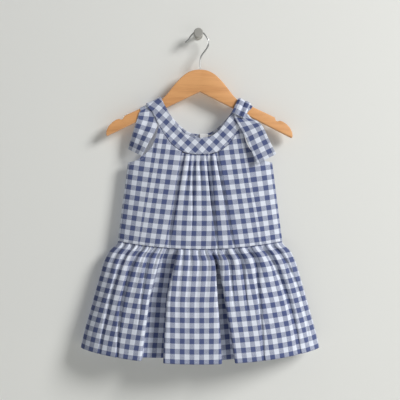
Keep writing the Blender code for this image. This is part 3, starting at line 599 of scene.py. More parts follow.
def cotton_thread():
    """White two-ply sewing thread, with the fine slanting relief of its twist and painted shade in the
    grooves between its plies.
    """
    finish, nodes, links, shader = new_finish("cotton_thread", THREAD_COLOUR, 0.75)
    shader.inputs["Sheen Weight"].default_value = 0.2
    place = nodes.new("ShaderNodeTexCoord")
    twist = nodes.new("ShaderNodeTexWave")
    twist.bands_direction = "DIAGONAL"
    twist.inputs["Scale"].default_value = 700.0
    links.new(place.outputs["Object"], twist.inputs["Vector"])
    # Painted shade: the thread is darker where its twist sinks in.
    painted_groove_shade(nodes, links, shader, twist.outputs["Fac"], THREAD_COLOUR, 0.88)
    add_relief(nodes, links, shader, twist.outputs["Fac"], 0.4, 0.00008)
    return finish


def topstitch_tree():
    """Geometry nodes that lay a row of stitches along a seam line: spindles of thread, a little uneven."""
    tree = bpy.data.node_groups.new("topstitch", "GeometryNodeTree")
    for name, kind in (("Seam", "Geometry"), ("Stitch length", "Float"), ("Stitch pitch", "Float"),
                       ("Thread width", "Float"), ("Seed", "Int"), ("Thread", "Material")):
        tree.interface.new_socket(name, in_out="INPUT", socket_type="NodeSocket" + kind)
    tree.interface.new_socket("Stitches", in_out="OUTPUT", socket_type="NodeSocketGeometry")
    nodes, links = tree.nodes, tree.links
    given = nodes.new("NodeGroupInput")
    line = nodes.new("GeometryNodeMeshToCurve")
    links.new(given.outputs["Seam"], line.inputs["Mesh"])
    spaced = nodes.new("GeometryNodeResampleCurve")
    spaced.mode = "LENGTH"
    links.new(line.outputs["Curve"], spaced.inputs["Curve"])
    links.new(given.outputs["Stitch pitch"], spaced.inputs["Length"])
    spindle = nodes.new("GeometryNodeMeshUVSphere")
    spindle.inputs["Segments"].default_value = 6
    spindle.inputs["Rings"].default_value = 4
    spindle.inputs["Radius"].default_value = 0.5
    uneven = nodes.new("FunctionNodeRandomValue")
    uneven.data_type = "FLOAT_VECTOR"
    uneven.inputs[0].default_value = (0.9, 0.9, 0.86)
    uneven.inputs[1].default_value = (1.1, 1.1, 1.06)
    links.new(given.outputs["Seed"], uneven.inputs["Seed"])
    size = nodes.new("ShaderNodeCombineXYZ")
    links.new(given.outputs["Thread width"], size.inputs["X"])
    links.new(given.outputs["Thread width"], size.inputs["Y"])
    links.new(given.outputs["Stitch length"], size.inputs["Z"])
    scale = nodes.new("ShaderNodeVectorMath")
    scale.operation = "MULTIPLY"
    links.new(size.outputs["Vector"], scale.inputs[0])
    links.new(uneven.outputs[0], scale.inputs[1])
    way = nodes.new("GeometryNodeInputTangent")
    turn = nodes.new("FunctionNodeAlignRotationToVector")
    turn.axis = "Z"
    links.new(way.outputs["Tangent"], turn.inputs["Vector"])
    sewn = nodes.new("GeometryNodeInstanceOnPoints")
    links.new(spaced.outputs["Curve"], sewn.inputs["Points"])
    links.new(spindle.outputs["Mesh"], sewn.inputs["Instance"])
    links.new(turn.outputs["Rotation"], sewn.inputs["Rotation"])
    links.new(scale.outputs["Vector"], sewn.inputs["Scale"])
    solid = nodes.new("GeometryNodeRealizeInstances")
    links.new(sewn.outputs["Instances"], solid.inputs["Geometry"])
    coloured = nodes.new("GeometryNodeSetMaterial")
    links.new(solid.outputs["Geometry"], coloured.inputs["Geometry"])
    links.new(given.outputs["Thread"], coloured.inputs["Material"])
    shown = nodes.new("NodeGroupOutput")
    links.new(coloured.outputs["Geometry"], shown.inputs["Stitches"])
    return tree


topstitch = topstitch_tree()
thread = cotton_thread()


def inset_line(grid, outward, edge, inset, first=0, last=None):
    """A line on a piece's outer face, that far inside one edge: the start, end, left or right of its rows."""
    face = grid + surface_normals(grid, outward) * (CLOTH / 2 + THREAD_WIDTH * 0.2)
    if edge in SIDES:
        face = face.transpose(1, 0, 2)
    if edge in ("end", "right"):
        face = face[::-1]
    face = face[:, first:last]
    away = column_places(face)
    return np.array([[np.interp(inset, away[:, k], face[:, k, axis]) for axis in range(3)]
                     for k in range(face.shape[1])])


def stitched(name, lines, seed):
    """Rows of stitches along lines on a piece of cloth, as one piece of thread."""
    mesh = bpy.data.meshes.new(name)
    points, edges = [], []
    for line in lines:
        start = len(points)
        points += [(x + MIDDLE_X, y, z) for x, y, z in line]
        edges += [(start + k, start + k + 1) for k in range(len(line) - 1)]
    mesh.from_pydata(points, edges, [])
    seam = bpy.data.objects.new(name, mesh)
    sewing = seam.modifiers.new("Topstitch", "NODES")
    sewing.node_group = topstitch
    given = {"Stitch length": STITCH_LENGTH, "Stitch pitch": STITCH_PITCH, "Thread width": THREAD_WIDTH,
             "Seed": seed, "Thread": thread}
    for socket in topstitch.interface.items_tree:
        if socket.name in given:
            sewing[socket.identifier] = given[socket.name]
    made = finished(seam, name)
    made.data.shade_smooth()
    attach(made, "root")
    return made


def bias_cut(half, wraps):
    """Lines of half a yoke and of its strap, each point with its place on the flat cloth after its own."""
    lines = [[(*point, point[0], point[2]) for point in line] for line in half]
    way = np.array([wraps[0][0][0] - wraps[1][0][0], wraps[0][0][2] - wraps[1][0][2]])
    way = -way / np.linalg.norm(way)
    for line in wraps:
        before = lines[-1]
        steps = [np.linalg.norm(np.subtract(point, old[:3])) for point, old in zip(line, before)]
        step = sum(steps) / len(steps)
        lines.append([(*point, *(np.array(old[3:]) + way * step)) for point, old in zip(line, before)])
    return lines


def bias_map(grid, offset=(0.0, 0.0)):
    """The flat places of a yoke's points, turned to the bias. The offset sets where the checks fall on it."""
    u, v = grid[..., 3] + offset[0], grid[..., 4] + offset[1]
    cos, sin = math.cos(BIAS), math.sin(BIAS)
    return np.stack([u * cos - v * sin, u * sin + v * cos], axis=-1)


left_wrap = wrap_lines(-1, STRAP_X, layer=0.0038, front=0.0040, back=0.0050)
right_wrap = wrap_lines(1, STRAP_X, layer=0.0010, front=0.0030, back=0.0050)
left_strap = bias_cut(yoke_half("front", 0.0, -1)[:-1], left_wrap)
right_strap = bias_cut(yoke_half("front", 0.0, 1)[:-1], right_wrap)
yoke_grid = refined(left_strap[::-1] + right_strap[1:], along=190, across=18)
yoke_points = crumpled(yoke_grid[..., :3], TO_ROOM, depth=0.0004, seed=11, spread=(0.012, 0.010))
front_yoke = cloth_piece("front_yoke_band", "front_yoke", yoke_points, bias_map(yoke_grid, CHECK_OFFSET))
yoke_lines = [inset_line(yoke_points, TO_ROOM, edge, EDGE_INSET, first=26, last=-26) for edge in SIDES]
yoke_stitches = stitched("front_yoke_stitches", yoke_lines, 1)


# Back yoke
# The same band a little higher, of which a sliver shows inside the neckline. Its left strap meets the left
# tie behind the arm, and its right strap meets the front strap.

BACK_NECK_RISE = 0.0085

back_halves = []
for hand, below in ((-1, 0.0120), (1, 0.0056)):
    strap_end = wrap_lines(hand, STRAP_X, layer=0.0010, front=0.0, back=below)[-2:]
    joined = bias_cut(yoke_half("back", BACK_NECK_RISE, hand)[:-2], strap_end)
    back_halves.append(joined[:-2] + joined[-1:])
back_grid = refined(back_halves[0][::-1] + back_halves[1][1:], along=150, across=16)
back_points = crumpled(back_grid[..., :3], TO_WALL, depth=0.0004, seed=12, spread=(0.012, 0.010))
back_yoke = cloth_piece("back_yoke_band", "back_yoke", back_points, bias_map(back_grid))
back_lines = [inset_line(back_points, TO_WALL, edge, EDGE_INSET, first=12, last=-12) for edge in SIDES]
back_stitches = stitched("back_yoke_stitches", back_lines, 2)


# Label
# A small blank tab of cream woven tape, sewn by its top edge to the inside of the back neck, with a
# narrower size tab beside it. Both are bare.

# The tape's cream, lifted to near white as painted light so that it reads bright in the shade inside the
# neck.
LABEL_CREAM_AND_PAINTED_LIGHT = (0.97, 0.968, 0.955)
LABEL_GAP = 0.0014
LABEL_TAPE = 0.0005


def woven_tape():
    """Cream satin tape with a fine rib across it, painted shade between the ribs, and its colour lifted to
    near white as painted light.
    """
    finish, nodes, links, shader = new_finish("woven_tape", LABEL_CREAM_AND_PAINTED_LIGHT, 0.62)
    cut = nodes.new("ShaderNodeUVMap")
    cut.uv_map = "cloth"
    ribs = nodes.new("ShaderNodeTexWave")
    ribs.bands_direction = "Y"
    ribs.inputs["Scale"].default_value = 900.0
    ribs.inputs["Distortion"].default_value = 1.0
    links.new(cut.outputs["UV"], ribs.inputs["Vector"])
    # Painted shade between the ribs.
    painted_groove_shade(nodes, links, shader, ribs.outputs["Fac"], LABEL_CREAM_AND_PAINTED_LIGHT, 0.93)
    add_relief(nodes, links, shader, ribs.outputs["Fac"], 0.3, 0.0001)
    return finish


tape = woven_tape()


def neck_tab(name, stands_for, left, right, top, bottom):
    """A flat tab that hangs inside the back neck, with its lower corners a little curled."""
    x, z = np.meshgrid(np.linspace(left, right, 13), np.linspace(top, bottom, 13))
    curl = 0.0006 * ((x - left) / (right - left) - 0.5) ** 2 + 0.0004 * (top - z) / (top - bottom)
    y = body_y(x, z, "back") - LABEL_GAP - curl
    grid, cut = np.stack([x, y, z], axis=-1), np.stack([x, z], axis=-1)
    return cloth_piece(name, stands_for, grid, cut, LABEL_TAPE, tape)


label = neck_tab("neck_label", "label", left=-0.001, right=0.015, top=-0.1915, bottom=-0.2035)
size_tab = neck_tab("size_tab", None, left=0.0162, right=0.0262, top=-0.1935, bottom=-0.2035)


# Left shoulder tie
# A straight-grain band that comes up from the back yoke, goes over the arm under the front strap, and hangs
# down in front of the armhole, a little turned, with two soft pleats.

LEFT_TIE_X = (0.0790, 0.1140)
TIE_HEM = 0.006
# Edges in front, below the arm: (outer x, y, z, inner x, y, z, depth of the pleats)
LEFT_TIE_FRONT = (
    (-0.1158, -0.0273, -0.1520, -0.0782, -0.0273, -0.1470, 0.0),
    (-0.1184, -0.0275, -0.1600, -0.0790, -0.0274, -0.1660, 0.0),
    (-0.1218, -0.0274, -0.1705, -0.0828, -0.0285, -0.1810, 0.0012),
    (-0.1264, -0.0248, -0.1840, -0.0905, -0.0307, -0.1970, 0.0014),
    (-0.1322, -0.0204, -0.2015, -0.1008, -0.0336, -0.2160, 0.0008),
    (-0.1385, -0.0155, -0.2208, -0.1105, -0.0362, -0.2350, 0.0),
)


def band(stations, along, across, wave):
    """A band through stations of (one edge, the other edge, depth).

    wave(share, depth, along) lifts it from flat, by the shares of the way across it and along it.
    """
    table = np.array([[*np.add(a, b) / 2, *np.subtract(b, a), depth] for a, b, depth in stations])
    marks = lengths(table[:, :3])
    places = np.linspace(0.0, marks[-1], along + 1)
    fine = np.stack([smooth_value(places, marks, column) for column in table.T], axis=1)
    share = np.linspace(-0.5, 0.5, across + 1)
    middle, width, depth = fine[:, None, :3], fine[:, None, 3:6], fine[:, 6:7]
    normal = np.cross(np.gradient(fine[:, :3], axis=0), fine[:, 3:6])
    normal /= np.linalg.norm(normal, axis=1, keepdims=True)
    lift = wave(share[None, :], depth, places[:, None] / marks[-1])
    return middle + width * share[None, :, None] + normal[:, None, :] * lift[..., None]


def grain_map(grid, offset):
    """Places on straight-grain cloth, by the mean distances of its columns and rows."""
    down, right = row_places(grid, 0), row_places(grid, 1)
    u, v = np.meshgrid(right - right[-1] / 2 + offset[0], down + offset[1])
    return np.stack([u, v], axis=-1)


def arm_stations(hand, span, layer, front, back, depths):
    """Stations of a band where it goes over an arm, from the back to the front."""
    ends = [arm_frame(x, hand) for x in span[::hand]]
    stations = []
    for (up, y), depth in zip(over_the_arm(layer, front, back)[::-1], depths):
        places = [edge + up * rise for edge, rise in ends]
        stations.append((*((x, y, z) for x, z in places), depth))
    return stations


def pleated(share, depth, along):
    """Two soft pleats across the band."""
    return depth * (1 - np.cos(4 * np.pi * (share + 0.5))) / 2


stations = arm_stations(-1, LEFT_TIE_X, layer=0.0010, front=0.0030, back=0.0114, depths=np.zeros(10))
stations += [(edge[0:3], edge[3:6], edge[6]) for edge in LEFT_TIE_FRONT]
left_tie_grid = band(stations, along=150, across=30, wave=pleated)
left_tie_grid = crumpled(left_tie_grid, TO_ROOM, depth=0.0003, seed=21, spread=(0.012, 0.008))
left_tie_cut = grain_map(left_tie_grid, (0.004, 0.012))
left_tie = cloth_piece("left_shoulder_tie", "left_tie", left_tie_grid, left_tie_cut)
tie_lines = [inset_line(left_tie_grid, TO_ROOM, edge, EDGE_INSET, first=70) for edge in SIDES]
tie_lines.append(inset_line(left_tie_grid, TO_ROOM, "end", TIE_HEM, first=1, last=-1))
left_tie_stitches = stitched("left_tie_stitches", tie_lines, 3)


# Right shoulder tie
# The same kind of band, bunched into a knot round the arm and the front strap. Its flat end comes out from
# under the knot and hangs over the strap and the armhole.

KNOT_X = (0.0725, 0.0960)
KNOT_DEPTHS = (0.0006, 0.0008, 0.0008, 0.0010, 0.0010, 0.0012, 0.0014, 0.0018, 0.0022, 0.0024)
# The knot in front, below the arm: (how far down, how far forward, depth of its gathers)
KNOT_BELOW = ((0.006, -0.0024, 0.0026), (0.013, -0.0038, 0.0024), (0.021, -0.0046, 0.0014))
KNOT_WAY = (-0.413, -0.911)
# Edges of the right tie from under the knot down: (inner x, y, z, outer x, y, z)
RIGHT_TIE_FRONT = (
    (0.0655, -0.0307, -0.1520, 0.0905, -0.0304, -0.1550),
    (0.0655, -0.0312, -0.1610, 0.0975, -0.0308, -0.1635),
    (0.0725, -0.0345, -0.1755, 0.1085, -0.0333, -0.1690),
    (0.0830, -0.0380, -0.1945, 0.1175, -0.0362, -0.1785),
    (0.0945, -0.0405, -0.2210, 0.1295, -0.0385, -0.2030),
    (0.1075, -0.0425, -0.2500, 0.1435, -0.0405, -0.2320),
)


def bunched(share, depth, along):
    """Two uneven gathers across the knot, with a slanting crease between them and small ones beside it."""
    place = share + 0.5 + 0.10 * np.sin(np.pi * (share + 0.5)) * np.sin(5.0 * along + 0.6)
    folds = np.sin(2 * np.pi * np.clip(place, 0.0, 1.0)) ** 2
    small = np.sin(24.0 * share + 7.0 * along) * np.cos(np.pi * share)
    return depth * (folds ** 0.5 + 0.12 * small)


def flat_end(share, depth, along):
    """Almost flat, with one slow bend across it."""
    return 0.0006 * np.sin(2 * np.pi * (share + 0.3)) * along


stations = arm_stations(1, KNOT_X, layer=0.0034, front=0.0060, back=0.0120, depths=KNOT_DEPTHS)
inner_edge, outer_edge, _ = stations[-1]
for drop, forward, depth in KNOT_BELOW:
    move = np.array([KNOT_WAY[0] * drop, forward, KNOT_WAY[1] * drop])
    stations.append((np.add(inner_edge, move), np.add(outer_edge, move), depth))
knot_grid = band(stations, along=110, across=90, wave=bunched)
knot = cloth_piece("right_tie_knot", "right_knot", knot_grid, grain_map(knot_grid, (0.004, 0.006)))

stations = [(edge[0:3], edge[3:6], 0.0) for edge in RIGHT_TIE_FRONT]
right_tie_grid = band(stations, along=90, across=30, wave=flat_end)
right_tie_grid = crumpled(right_tie_grid, TO_ROOM, depth=0.0003, seed=22, spread=(0.012, 0.008))
right_tie_cut = grain_map(right_tie_grid, (0.0, 0.013))
right_tie = cloth_piece("right_shoulder_tie", "right_tie", right_tie_grid, right_tie_cut)
tie_lines = [inset_line(right_tie_grid, TO_ROOM, edge, EDGE_INSET, first=14) for edge in SIDES]
tie_lines.append(inset_line(right_tie_grid, TO_ROOM, "end", TIE_HEM, first=1, last=-1))
right_tie_stitches = stitched("right_tie_stitches", tie_lines, 4)


# Front and back panels
# Each is one piece of gingham, cut on the straight grain, gathered along the curve of its yoke and cut away
# at the armholes. The gathers fade below the yoke into a few long creases that run down to the waist.

SEAM_GAP = 0.0005
SIDE_SEAM_GAP = 0.0006
UNDERARM_HALF_WIDTH = 0.1374
UNDERARM_Z = -0.247
WAIST_SIDE_Z = -0.397
WAIST_MIDDLE_Z = -0.411
WAIST_HALF_WIDTH = 0.1568
GATHERED_CUT = 0.152
GATHERED_AT_WAIST = 0.134
GATHERED_AT_YOKE = 0.070
YOKE_GATHERS = 8
ARMHOLE_WAIST_X = 0.1200
ARMHOLE_START_X = 0.0838
ARMHOLE_RISE = 0.2075
UNDERARM_LEAN = 0.1293
PANEL_FOOT_Z = -0.400
ARMHOLE_HEM = 0.006
# Yoke lines that the panel's top edge follows, from the middle outwards
SEWN_LINES = 11
# Depth and height of the creases at a seam, and what they gain away from it
CREASE_AT_SEAM = (0.0014, 0.0009)
CREASE_GAIN = (0.0056, 0.0030)
# Shares of the panel's height in which the creases deepen, up from the waist and down from the yoke
CREASE_FADE = (0.22, 0.14)
CREASE_FLOOR = 0.001
CREASE_RIDGE = 0.003
CREASE_ROOT = 0.006
# A crease whose flanks are smaller than this fades away
CREASE_FAINT = 0.3
STEEPEST = 1.9
# The armhole from the yoke's edge down to the underarm
ARMHOLE = (
    (ARMHOLE_START_X, -0.1965), (0.0930, -0.2195), (0.1095, -0.2345), (0.1240, -0.2440),
    (UNDERARM_HALF_WIDTH, UNDERARM_Z),
)
# Strength of the gathers, in radians, by the share of the way up to the yoke
YOKE_GATHER_FADE = np.array([
    (0.0, 0.0), (0.35, 0.05), (0.50, 0.16), (0.65, 0.42), (0.80, 0.80), (0.92, 1.15), (1.0, 1.25),
])
# Creases: where they are on the cut cloth at the waist, halfway and at the yoke, the size of their flanks at
# the same places, and how steep their left and right flanks are
FRONT_CREASES = (
    (-0.0665, -0.0623, -0.0621, 1.00, 1.10, 1.00, 1.50, 1.20),
    (-0.0181, -0.0192, -0.0225, 0.00, 0.35, 0.80, 1.35, 1.10),
    (0.0331, 0.0275, 0.0252, 0.80, 1.00, 0.90, 1.50, 1.15),
    (0.0699, 0.0679, 0.0638, 0.90, 1.00, 0.90, 1.50, 1.20),
)
BACK_CREASES = (
    (-0.0610, -0.0590, -0.0570, 1.00, 1.00, 0.90, 1.20, 1.40),
    (-0.0120, -0.0150, -0.0180, 0.50, 0.80, 0.90, 1.20, 1.30),
    (0.0250, 0.0240, 0.0220, 0.00, 0.40, 0.80, 1.10, 1.30),
    (0.0640, 0.0630, 0.0600, 1.00, 1.00, 0.90, 1.20, 1.45),
)


def smooth_step(t):
    """From 0 to 1 as t goes from -0.5 to 0.5."""
    t = np.clip(t + 0.5, 0.0, 1.0)
    return t * t * (3.0 - 2.0 * t)


def valley_angle(u, middle, floor, flank, left, right, ridge, root, tilt=0.0):
    """The slope along a row of cloth that goes down a flank into a valley and up the other flank.

    tilt is how far the floor still falls towards its right, which makes the right flank longer.
    """
    ridge = min(ridge, 0.8 * flank + 0.001)
    root = min(root, 0.8 * flank + 0.0015)
    far = flank + floor * math.sin(tilt) / math.sin(min(right, 1.5))
    down, up = middle - floor / 2, middle + floor / 2
    after_down, after_up = smooth_step((u - down) / root), smooth_step((u - up) / root)
    falls = smooth_step((u - down + flank) / ridge) * (1.0 - after_down)
    rises = after_up * (1.0 - smooth_step((u - up - far) / ridge))
    return right * rises - left * falls - tilt * after_down * (1.0 - after_up)


def laid_row(cut, span, gathers, valleys):
    """A row of cloth of that cut width, laid in folds so that it spans less.

    gathers gives the slope of its gathers along the cut cloth, and valleys the slope of its folds when
    a flank has that length. The flanks are made long enough for the row to fit the span. Returns the
    place on the cut cloth, across the front view, and outwards.
    """
    def bend(u, flank):
        folds = valleys(u, flank)
        return np.clip(folds + gathers(u) * (1.0 - np.minimum(1.0, np.abs(folds))), -STEEPEST, STEEPEST)

    coarse = np.linspace(-cut / 2, cut / 2, 801)
    low, high = 0.0, cut / 9
    for _ in range(20):
        flank = (low + high) / 2
        if np.cos(bend(coarse, flank)).mean() * cut > span:
            low = flank
        else:
            high = flank
    u = np.linspace(-cut / 2, cut / 2, 2401)
    step = u[1] - u[0]
    angle = bend(u, flank)
    across = np.concatenate([[0.0], np.cumsum((np.cos(angle[1:]) + np.cos(angle[:-1])) / 2 * step)])
    out = np.concatenate([[0.0], np.cumsum((np.sin(angle[1:]) + np.sin(angle[:-1])) / 2 * step)])
    across = (across / across[-1] - 0.5) * span
    out -= np.linspace(out[0], out[-1], len(out))
    return u, across, out


def limited(fold, inward, outward):
    """The fold's depth, softly kept within a depth inwards and a height outwards."""
    most = np.where(fold < 0.0, inward, outward)
    return fold / (1.0 + np.abs(fold / most) ** 6) ** (1.0 / 6.0)


def waist_z(x):
    """The height of the waist seam, which rises towards the sides."""
    return WAIST_MIDDLE_Z + (WAIST_SIDE_Z - WAIST_MIDDLE_Z) * (x / WAIST_HALF_WIDTH) ** 2


def wander(cut, seed, amount):
    """A slow uneven curve along the cut cloth."""
    chance = np.random.default_rng(seed)
    waves = [(k, chance.uniform(0.5, 1.0) / k ** 0.5, chance.uniform(0, 2 * np.pi)) for k in range(2, 8)]
    return lambda u: amount * sum(size * np.sin(2 * np.pi * k * u / cut + start) for k, size, start in waves)


def puckers(count, cut, seed):
    """Uneven gathers along the cut cloth: broad round lobes with narrow creases between them."""
    drift = wander(cut, seed, 0.9)

    def slope(u):
        turn = 2 * np.pi * count * u / cut + drift(u)
        return 0.85 * (np.sin(turn) + 0.40 * np.sin(2 * turn) + 0.12 * np.sin(3 * turn))
    return slope


def body_panel(side, rise, creases, seed, rows, middle_steps, side_steps):
    """Grid and cloth places of a body panel, from the waist to the yoke and the armholes."""
    direction = -1.0 if side == "front" else 1.0
    half_steps = side_steps // 2
    shares = np.linspace(0.0, 1.0, YOKE_LINES)
    edge = raised(spaced_points(YOKE_EDGE, shares), rise)[:SEWN_LINES]
    edge = edge - SEAM_GAP * np.array([-0.5, 1.0]) * np.linspace(0.0, 1.0, SEWN_LINES)[:, None] ** 0.5
    edge[:, 1] -= SEAM_GAP * np.linspace(1.0, 0.4, SEWN_LINES)
    under = edge[edge[:, 0] > GATHERED_AT_YOKE / 2 + 0.002]
    start = [GATHERED_AT_YOKE / 2, np.interp(GATHERED_AT_YOKE / 2, edge[:, 0], edge[:, 1])]
    near = spaced_points([start, *under], np.linspace(0.0, 1.0, half_steps + 1)[1:])
    along = np.sin(np.linspace(0.0, math.pi / 2, half_steps + 1))[1:]
    armhole = spaced_points([under[-1], *ARMHOLE], along)
    top = np.concatenate([near, armhole])
    start_lean = (ARMHOLE_WAIST_X - ARMHOLE_START_X) / ARMHOLE_RISE
    lean = (1.0 - along) * start_lean + along * UNDERARM_LEAN
    foot = armhole[:, 0] + (armhole[:, 1] - PANEL_FOOT_Z) * lean
    spread = (foot - ARMHOLE_WAIST_X) / (foot[-1] - ARMHOLE_WAIST_X)
    low = np.concatenate([
        np.linspace(GATHERED_AT_WAIST / 2, ARMHOLE_WAIST_X, half_steps + 1)[1:],
        ARMHOLE_WAIST_X + (WAIST_HALF_WIDTH - ARMHOLE_WAIST_X) * spread,
    ])
    middle_u = np.linspace(-GATHERED_CUT / 2, GATHERED_CUT / 2, middle_steps + 1)
    slope = puckers(YOKE_GATHERS, GATHERED_CUT, seed)
    uneven = wander(GATHERED_CUT, seed + 1, 0.03)

    grid = []
    for share in rows:
        span = GATHERED_AT_WAIST + (GATHERED_AT_YOKE - GATHERED_AT_WAIST) * share

        def gathers(u):
            reached = np.clip(share + uneven(u), 0.0, 1.0)
            return np.interp(reached, *YOKE_GATHER_FADE.T) * slope(u)

        def valleys(u, flank):
            angle = np.zeros_like(u)
            for *places, small, middling, large, left, right in creases:
                middle = smooth_value(share, (0.0, 0.5, 1.0), places)
                size = smooth_value(share, (0.0, 0.5, 1.0), (small, middling, large))
                shape = (CREASE_FLOOR, flank * size, left, right, CREASE_RIDGE, CREASE_ROOT)
                angle += min(1.0, size / CREASE_FAINT) * valley_angle(u, middle, *shape)
            return angle

        u, across, out = laid_row(GATHERED_CUT, span, gathers, valleys)
        x = np.interp(middle_u, u, across)
        top_z = np.interp(np.abs(middle_u) / GATHERED_CUT * GATHERED_AT_YOKE, edge[:, 0], edge[:, 1])
        bottom_z = waist_z(middle_u / GATHERED_CUT * GATHERED_AT_WAIST)
        z = bottom_z + (top_z - bottom_z) * share
        seam = min(share / CREASE_FADE[0], (1.0 - share) / CREASE_FADE[1])
        inward, outward = np.array(CREASE_AT_SEAM) + np.array(CREASE_GAIN) * smooth_step(seam - 0.5)
        y = body_y(x, z, side) + direction * limited(np.interp(middle_u, u, out), inward, outward)
        side_x = low + (top[:, 0] - low) * share
        side_z = waist_z(low) + (top[:, 1] - waist_z(low)) * share
        side_y = body_y(side_x, side_z, side)
        side_y[-1] = SIDE_SEAM_Y + direction * SIDE_SEAM_GAP
        outer = np.stack([side_x, side_y, side_z], axis=1)
        mirrored = (outer * np.array([-1.0, 1.0, 1.0]))[::-1]
        grid.append(np.concatenate([mirrored, np.stack([x, y, z], axis=1), outer]))
    grid = np.array(grid)

    waist = lengths(grid[0])
    first, last = side_steps, side_steps + middle_steps
    left = -GATHERED_CUT / 2 - (waist[first] - waist[:first])
    right = GATHERED_CUT / 2 + (waist[last + 1:] - waist[last])
    across = np.concatenate([left, middle_u, right])
    flat = grid.copy()
    flat[..., 1] = smooth_value(grid[..., 2], BODY_DEPTHS[:, 0], BODY_DEPTHS[:, 1])
    down = column_places(flat)
    return grid, np.stack([np.broadcast_to(across, down.shape), down], axis=-1)


panel_rows = np.linspace(0.0, 1.0, 121)
front_grid, front_cut = body_panel(
    "front", 0.0, FRONT_CREASES, seed=31, rows=panel_rows, middle_steps=200, side_steps=72,
)
front_grid = crumpled(front_grid, TO_ROOM, depth=0.0006, seed=33)
front_cut += np.array([0.0055, -0.001])
front_panel = cloth_piece("front_body_panel", "front_panel", front_grid, front_cut)
panel_lines = [inset_line(front_grid, TO_ROOM, "start", EDGE_INSET, first=1, last=-1)]
for part in ((1, 36), (-36, -1)):
    panel_lines.append(inset_line(front_grid, TO_ROOM, "end", ARMHOLE_HEM, *part))
front_panel_stitches = stitched("front_panel_stitches", panel_lines, 5)

back_panel_grid, back_cut = body_panel(
    "back", BACK_NECK_RISE, BACK_CREASES, seed=41, rows=panel_rows[::2], middle_steps=150, side_steps=60,
)
back_panel_grid = crumpled(back_panel_grid, TO_WALL, depth=0.0006, seed=43)
back_panel = cloth_piece("back_body_panel", "back_panel", back_panel_grid, back_cut)
panel_lines = [inset_line(back_panel_grid, TO_WALL, "start", EDGE_INSET, first=1, last=-1)]
for part in ((1, 30), (-30, -1)):
    panel_lines.append(inset_line(back_panel_grid, TO_WALL, "end", ARMHOLE_HEM, *part))
back_panel_stitches = stitched("back_panel_stitches", panel_lines, 6)


# Skirt tier
# Two straight widths of gingham, joined at the sides and gathered into the dropped waist. Small puckers at
# the seam open into two deep folds and some narrow ones that reach the hem, which is turned up and stitched.

SKIRT_CUT = 0.600
SKIRT_LENGTH = 0.210
SKIRT_GATHERS = 34
SKIRT_HEM = 0.015
SKIRT_DROP_MIDDLE = 0.207
SKIRT_DROP_SIDE = 0.2015
EDGE_CLOTH_SHARE = 0.34
HEM_LIFT = 0.10
# Share of the room between the skirt's halves that a fold may take, and how near the side seam folds fade
FOLD_ROOM = 0.80
SIDE_FADE = 0.012
# Depth of the folds at the waist, and how fast they may grow below it, inwards and outwards
FOLD_AT_WAIST = 0.0016
FOLD_GROWTH = (0.9, 0.5)
FOLD_MOST_OUTWARD = 0.012
# A fold whose flanks are smaller than this fades away
FOLD_FAINT = 0.12
# Rows of the skirt: (share of the drop, half-width, front y, back y, side y, radians of the gathers)
SKIRT_ROWS = np.array([
    (0.000, 0.1568, -0.0437, -0.0074, -0.0210, 1.05),
    (0.015, 0.1575, -0.0450, -0.0070, -0.0210, 1.05),
    (0.085, 0.1710, -0.0530, -0.0060, -0.0212, 0.62),
    (0.175, 0.1805, -0.0605, -0.0050, -0.0216, 0.36),
    (0.290, 0.1880, -0.0675, -0.0045, -0.0222, 0.22),
    (0.450, 0.1975, -0.0745, -0.0040, -0.0232, 0.12),
    (0.660, 0.2095, -0.0805, -0.0038, -0.0245, 0.05),
    (0.830, 0.2190, -0.0845, -0.0036, -0.0255, 0.00),
    (1.000, 0.2269, -0.0875, -0.0034, -0.0260, 0.00),
])
# Valleys: where they are on the cut cloth near the waist, halfway and at the hem, the width of their floor at
# the waist and the hem, the size of their flanks at the three places, how steep the flanks are, and how far
# the floor tilts
FRONT_VALLEYS = (
    (-0.2532, -0.2478, -0.2396, 0.002, 0.004, 0.28, 0.25, 0.09, 1.10, 1.10, 0.0),
    (-0.2230, -0.2196, -0.2033, 0.001, 0.003, 0.34, 0.34, 0.16, 1.20, 1.30, 0.0),
    (-0.1887, -0.1789, -0.1697, 0.001, 0.002, 0.34, 0.14, 0.00, 1.20, 1.20, 0.0),
    (-0.1090, -0.1150, -0.1155, 0.032, 0.044, 1.15, 1.30, 1.30, 1.55, 1.75, 0.25),
    (0.0635, 0.0720, 0.0760, 0.006, 0.024, 1.10, 1.25, 1.25, 1.65, 1.60, 0.25),
    (0.1272, 0.1267, 0.1168, 0.001, 0.002, 0.34, 0.08, 0.00, 1.20, 1.20, 0.0),
    (0.1599, 0.1521, 0.1410, 0.001, 0.002, 0.30, 0.10, 0.00, 1.20, 1.20, 0.0),
    (0.1949, 0.1795, 0.1662, 0.002, 0.004, 0.36, 0.26, 0.12, 1.20, 1.10, 0.0),
    (0.2339, 0.2383, 0.2355, 0.003, 0.008, 0.44, 0.44, 0.12, 1.10, 1.10, 0.0),
    (0.2640, 0.2694, 0.2583, 0.002, 0.004, 0.26, 0.20, 0.08, 1.00, 1.00, 0.0),
)
